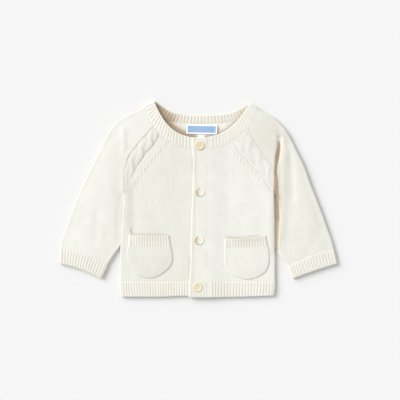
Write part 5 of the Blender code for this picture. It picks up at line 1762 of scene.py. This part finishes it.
pearl_pale = pearl_finish("pearl_pale", (0.83, 0.80, 0.72), (0.54, 0.46, 0.33), 2.4)
pearl_yellow = pearl_finish("pearl_yellow", (0.78, 0.71, 0.51), (0.72, 0.62, 0.40), 0.0)
thread, _, _ = new_material("cream_thread", (0.80, 0.76, 0.64), 0.75)


# %% One turned and drilled button
BUTTON_D, BUTTON_H, HOLE_D, HOLE_STEP = 14.5, 1.9, 1.7, 3.2
# shares of the radius and the height, from the middle of the dish over the rim and underneath
BUTTON_PROFILE = (
    (0.0, 0.76), (0.42, 0.76), (0.54, 0.78), (0.62, 0.84), (0.68, 0.91), (0.74, 0.97),
    (0.80, 1.0), (0.87, 0.97), (0.94, 0.86), (0.985, 0.70), (1.0, 0.55), (0.985, 0.38),
    (0.93, 0.20), (0.84, 0.07), (0.74, 0.0), (0.0, 0.0),
)
STRAND_R, STRAND_STEP = 0.17, 0.22
STRAND_REACH = HOLE_STEP / 2 + 0.45


def turned(profile, steps):
    """A bmesh of a profile of (radius, height) in millimetres, spun round Z."""
    bm = bmesh.new()
    verts = [bm.verts.new((r * MM, 0, z * MM)) for r, z in profile]
    edges = [bm.edges.new(pair) for pair in zip(verts, verts[1:])]
    bmesh.ops.spin(
        bm, geom=[*verts, *edges], cent=(0, 0, 0), axis=(0, 0, 1), angle=2 * math.pi,
        steps=steps, use_merge=True, use_duplicate=False,
    )
    bmesh.ops.remove_doubles(bm, verts=bm.verts, dist=0.000002)
    bmesh.ops.recalc_face_normals(bm, faces=bm.faces[:])
    return bm


def drilled_button():
    """The mesh of a button, with its four holes cut."""
    bm = turned([(r * BUTTON_D / 2, z * BUTTON_H) for r, z in BUTTON_PROFILE], 56)
    blank = new_object("blank", finished_mesh(bm, "button"))
    holes = bmesh.new()
    for sx in (-0.5, 0.5):
        for sy in (-0.5, 0.5):
            made = bmesh.ops.create_cone(
                holes, cap_ends=True, segments=20, radius1=HOLE_D / 2 * MM,
                radius2=HOLE_D / 2 * MM, depth=BUTTON_H * 4 * MM,
            )
            shift = (sx * HOLE_STEP * MM, sy * HOLE_STEP * MM, 0)
            bmesh.ops.translate(holes, verts=made["verts"], vec=shift)
    drill = new_object("drill", finished_mesh(holes, "drill"))
    cutter = blank.modifiers.new("holes", "BOOLEAN")
    cutter.operation, cutter.solver, cutter.object = "DIFFERENCE", "EXACT", drill
    ready = blank.evaluated_get(bpy.context.evaluated_depsgraph_get())
    done = bpy.data.meshes.new_from_object(ready)
    for made in (blank, drill):
        bpy.data.objects.remove(made, do_unlink=True)
    return done


def placed(bm, name, turn, x, y, z, finish):
    """Turns a bmesh round Z, moves it to its place in millimetres and makes it a mesh."""
    bmesh.ops.transform(bm, matrix=mathutils.Matrix.Rotation(turn, 4, "Z"), verts=bm.verts)
    bmesh.ops.translate(bm, verts=bm.verts, vec=(x * MM, y * MM, z * MM))
    mesh = finished_mesh(bm, name)
    mesh.shade_smooth()
    mesh.set_sharp_from_angle(angle=math.radians(38))
    mesh.materials.append(finish)
    return mesh


def thread_bars():
    """Two bars of three strands that come up through the holes, round the button's middle.

    Each strand is a thin cylinder 1 m long, which is subdivided and then laid over the dish.
    """
    bm = bmesh.new()
    dish = BUTTON_PROFILE[0][1] * BUTTON_H
    for side in (-0.5, 0.5):
        for strand in (-STRAND_STEP, 0.0, STRAND_STEP):
            before = set(bm.verts)
            bmesh.ops.create_cone(
                bm, cap_ends=True, segments=8, radius1=STRAND_R * MM, radius2=STRAND_R * MM, depth=1.0
            )
            new = [v for v in bm.verts if v not in before]
            long_edges = {e for v in new for e in v.link_edges if e.calc_length() > 0.5}
            bmesh.ops.subdivide_edges(bm, edges=list(long_edges), cuts=11, use_grid_fill=True)
            for v in [v for v in bm.verts if v not in before]:
                along = v.co.z * 2
                over = abs(along) < 0.82
                rise = 0.30 * math.cos(along * 1.6) if over else 1.1 * (0.6 - abs(along)) / 0.4
                across = v.co.x + (side * HOLE_STEP + strand) * MM
                v.co = (across, along * STRAND_REACH * MM, v.co.y + (dish + rise) * MM)
    return bm


# %% The four buttons
BUTTON_SINK = 1.0  # how deep a button is pressed into the band
BUTTON_TURNS = (0.3, 1.1, 0.05, 0.75)
button_mesh = drilled_button()
for number, ((x, y), turn) in enumerate(zip(BUTTON_PLACES, BUTTON_TURNS), 1):
    top = max(float(band_level(x + dx, y + dy)) for dx in (-5, 5) for dy in (-6, 0, 6))
    z = top + WALL - BUTTON_SINK
    finish = pearl_yellow if number in (1, 4) else pearl_pale
    bm = bmesh.new()
    bm.from_mesh(button_mesh)
    mesh = placed(bm, f"button_{number}", turn, x, y, z, finish)
    dress(f"button_{number}", mesh, "button")
    bars = placed(thread_bars(), f"thread_{number}", turn, x, y, z, thread)
    dress(f"thread_{number}", bars, "button", replaces=False)

# %% [markdown]
# ## What is cloth
#
# Each knitted or woven piece has the flat size that it was made to noted, with what it lies on, and
# the sizes are printed.

LIES_ON = {
    "table_top": "back hem_back sleeve_right sleeve_left cuff_right cuff_left neckband",
    "knit_back": "front_right front_left raglan_right raglan_left band_right label size_tab",
    "knit_hem_back": "hem_right hem_left",
    "knit_band_right": "band_left",
    "knit_front_right": "pocket_right pocket_rib_right",
    "knit_front_left": "pocket_left pocket_rib_left",
}
rests = {name: [below] for below, names in LIES_ON.items() for name in names.split()}
for name, (width, length, area) in cloth_sizes.items():
    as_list(rests[name])
    print(f"{name}: {width * 1000:.0f} x {length * 1000:.0f} mm, {area * 1e4:.0f} cm2")

# %% [markdown]
# ## The studio
#
# The cardigan lies on a plain pale table. A sun lamp at the upper left lights all of it alike, and
# the wide angle that it shines from makes its shadows soft. An even pale surround fills them. The
# camera looks straight down from two metres, so that the cloth's thickness hardly shifts what it
# sees.

# %% Table, lamp and camera
bm = bmesh.new()
bmesh.ops.create_grid(bm, x_segments=8, y_segments=8, size=2.0)
bmesh.ops.translate(bm, verts=bm.verts, vec=(0, 0, -0.0002))
table_mesh = finished_mesh(bm, "table_top")
paper, start, paper_shader = new_material("table_paper", (0.78, 0.78, 0.78), 0.9)
paper_grain = start.node("ShaderNodeTexCoord", None, None, 3).noise(400.0)
(paper_grain * 0.1 + 0.82).feed(paper_shader, "Roughness")
table_mesh.materials.append(paper)
new_object("table_top", table_mesh)

LAMP_FROM = mathutils.Vector((-1.5, 1.0, 1.15))
lamp_data = bpy.data.lights.new("soft_lamp", "SUN")
lamp_data.energy, lamp_data.angle = 3.0, math.radians(38)
lamp = new_object("soft_lamp", lamp_data)
lamp.location = LAMP_FROM
lamp.rotation_euler = (-LAMP_FROM).to_track_quat("-Z", "Y").to_euler()

room = bpy.data.worlds.new("pale_room")
room.use_nodes = True
surround = room.node_tree.nodes["Background"]
surround.inputs["Color"].default_value = (1.0, 1.0, 1.0, 1)
surround.inputs["Strength"].default_value = 0.664
bpy.context.scene.world = room
bpy.context.scene.view_settings.view_transform = "Standard"

VIEW_WIDTH, CAMERA_UP, CLOTH_MIDDLE, SENSOR = 0.600, 2.0, 0.006, 36.0
VIEW_CENTRE = (0.00225, -0.00128)
camera_data = bpy.data.cameras.new("camera")
camera_data.sensor_width = SENSOR
camera_data.lens = SENSOR * CAMERA_UP / VIEW_WIDTH
camera = new_object("camera", camera_data)
camera.location = (*VIEW_CENTRE, CLOTH_MIDDLE + CAMERA_UP)
bpy.context.scene.camera = camera
print("camera lens:", round(camera_data.lens, 1))
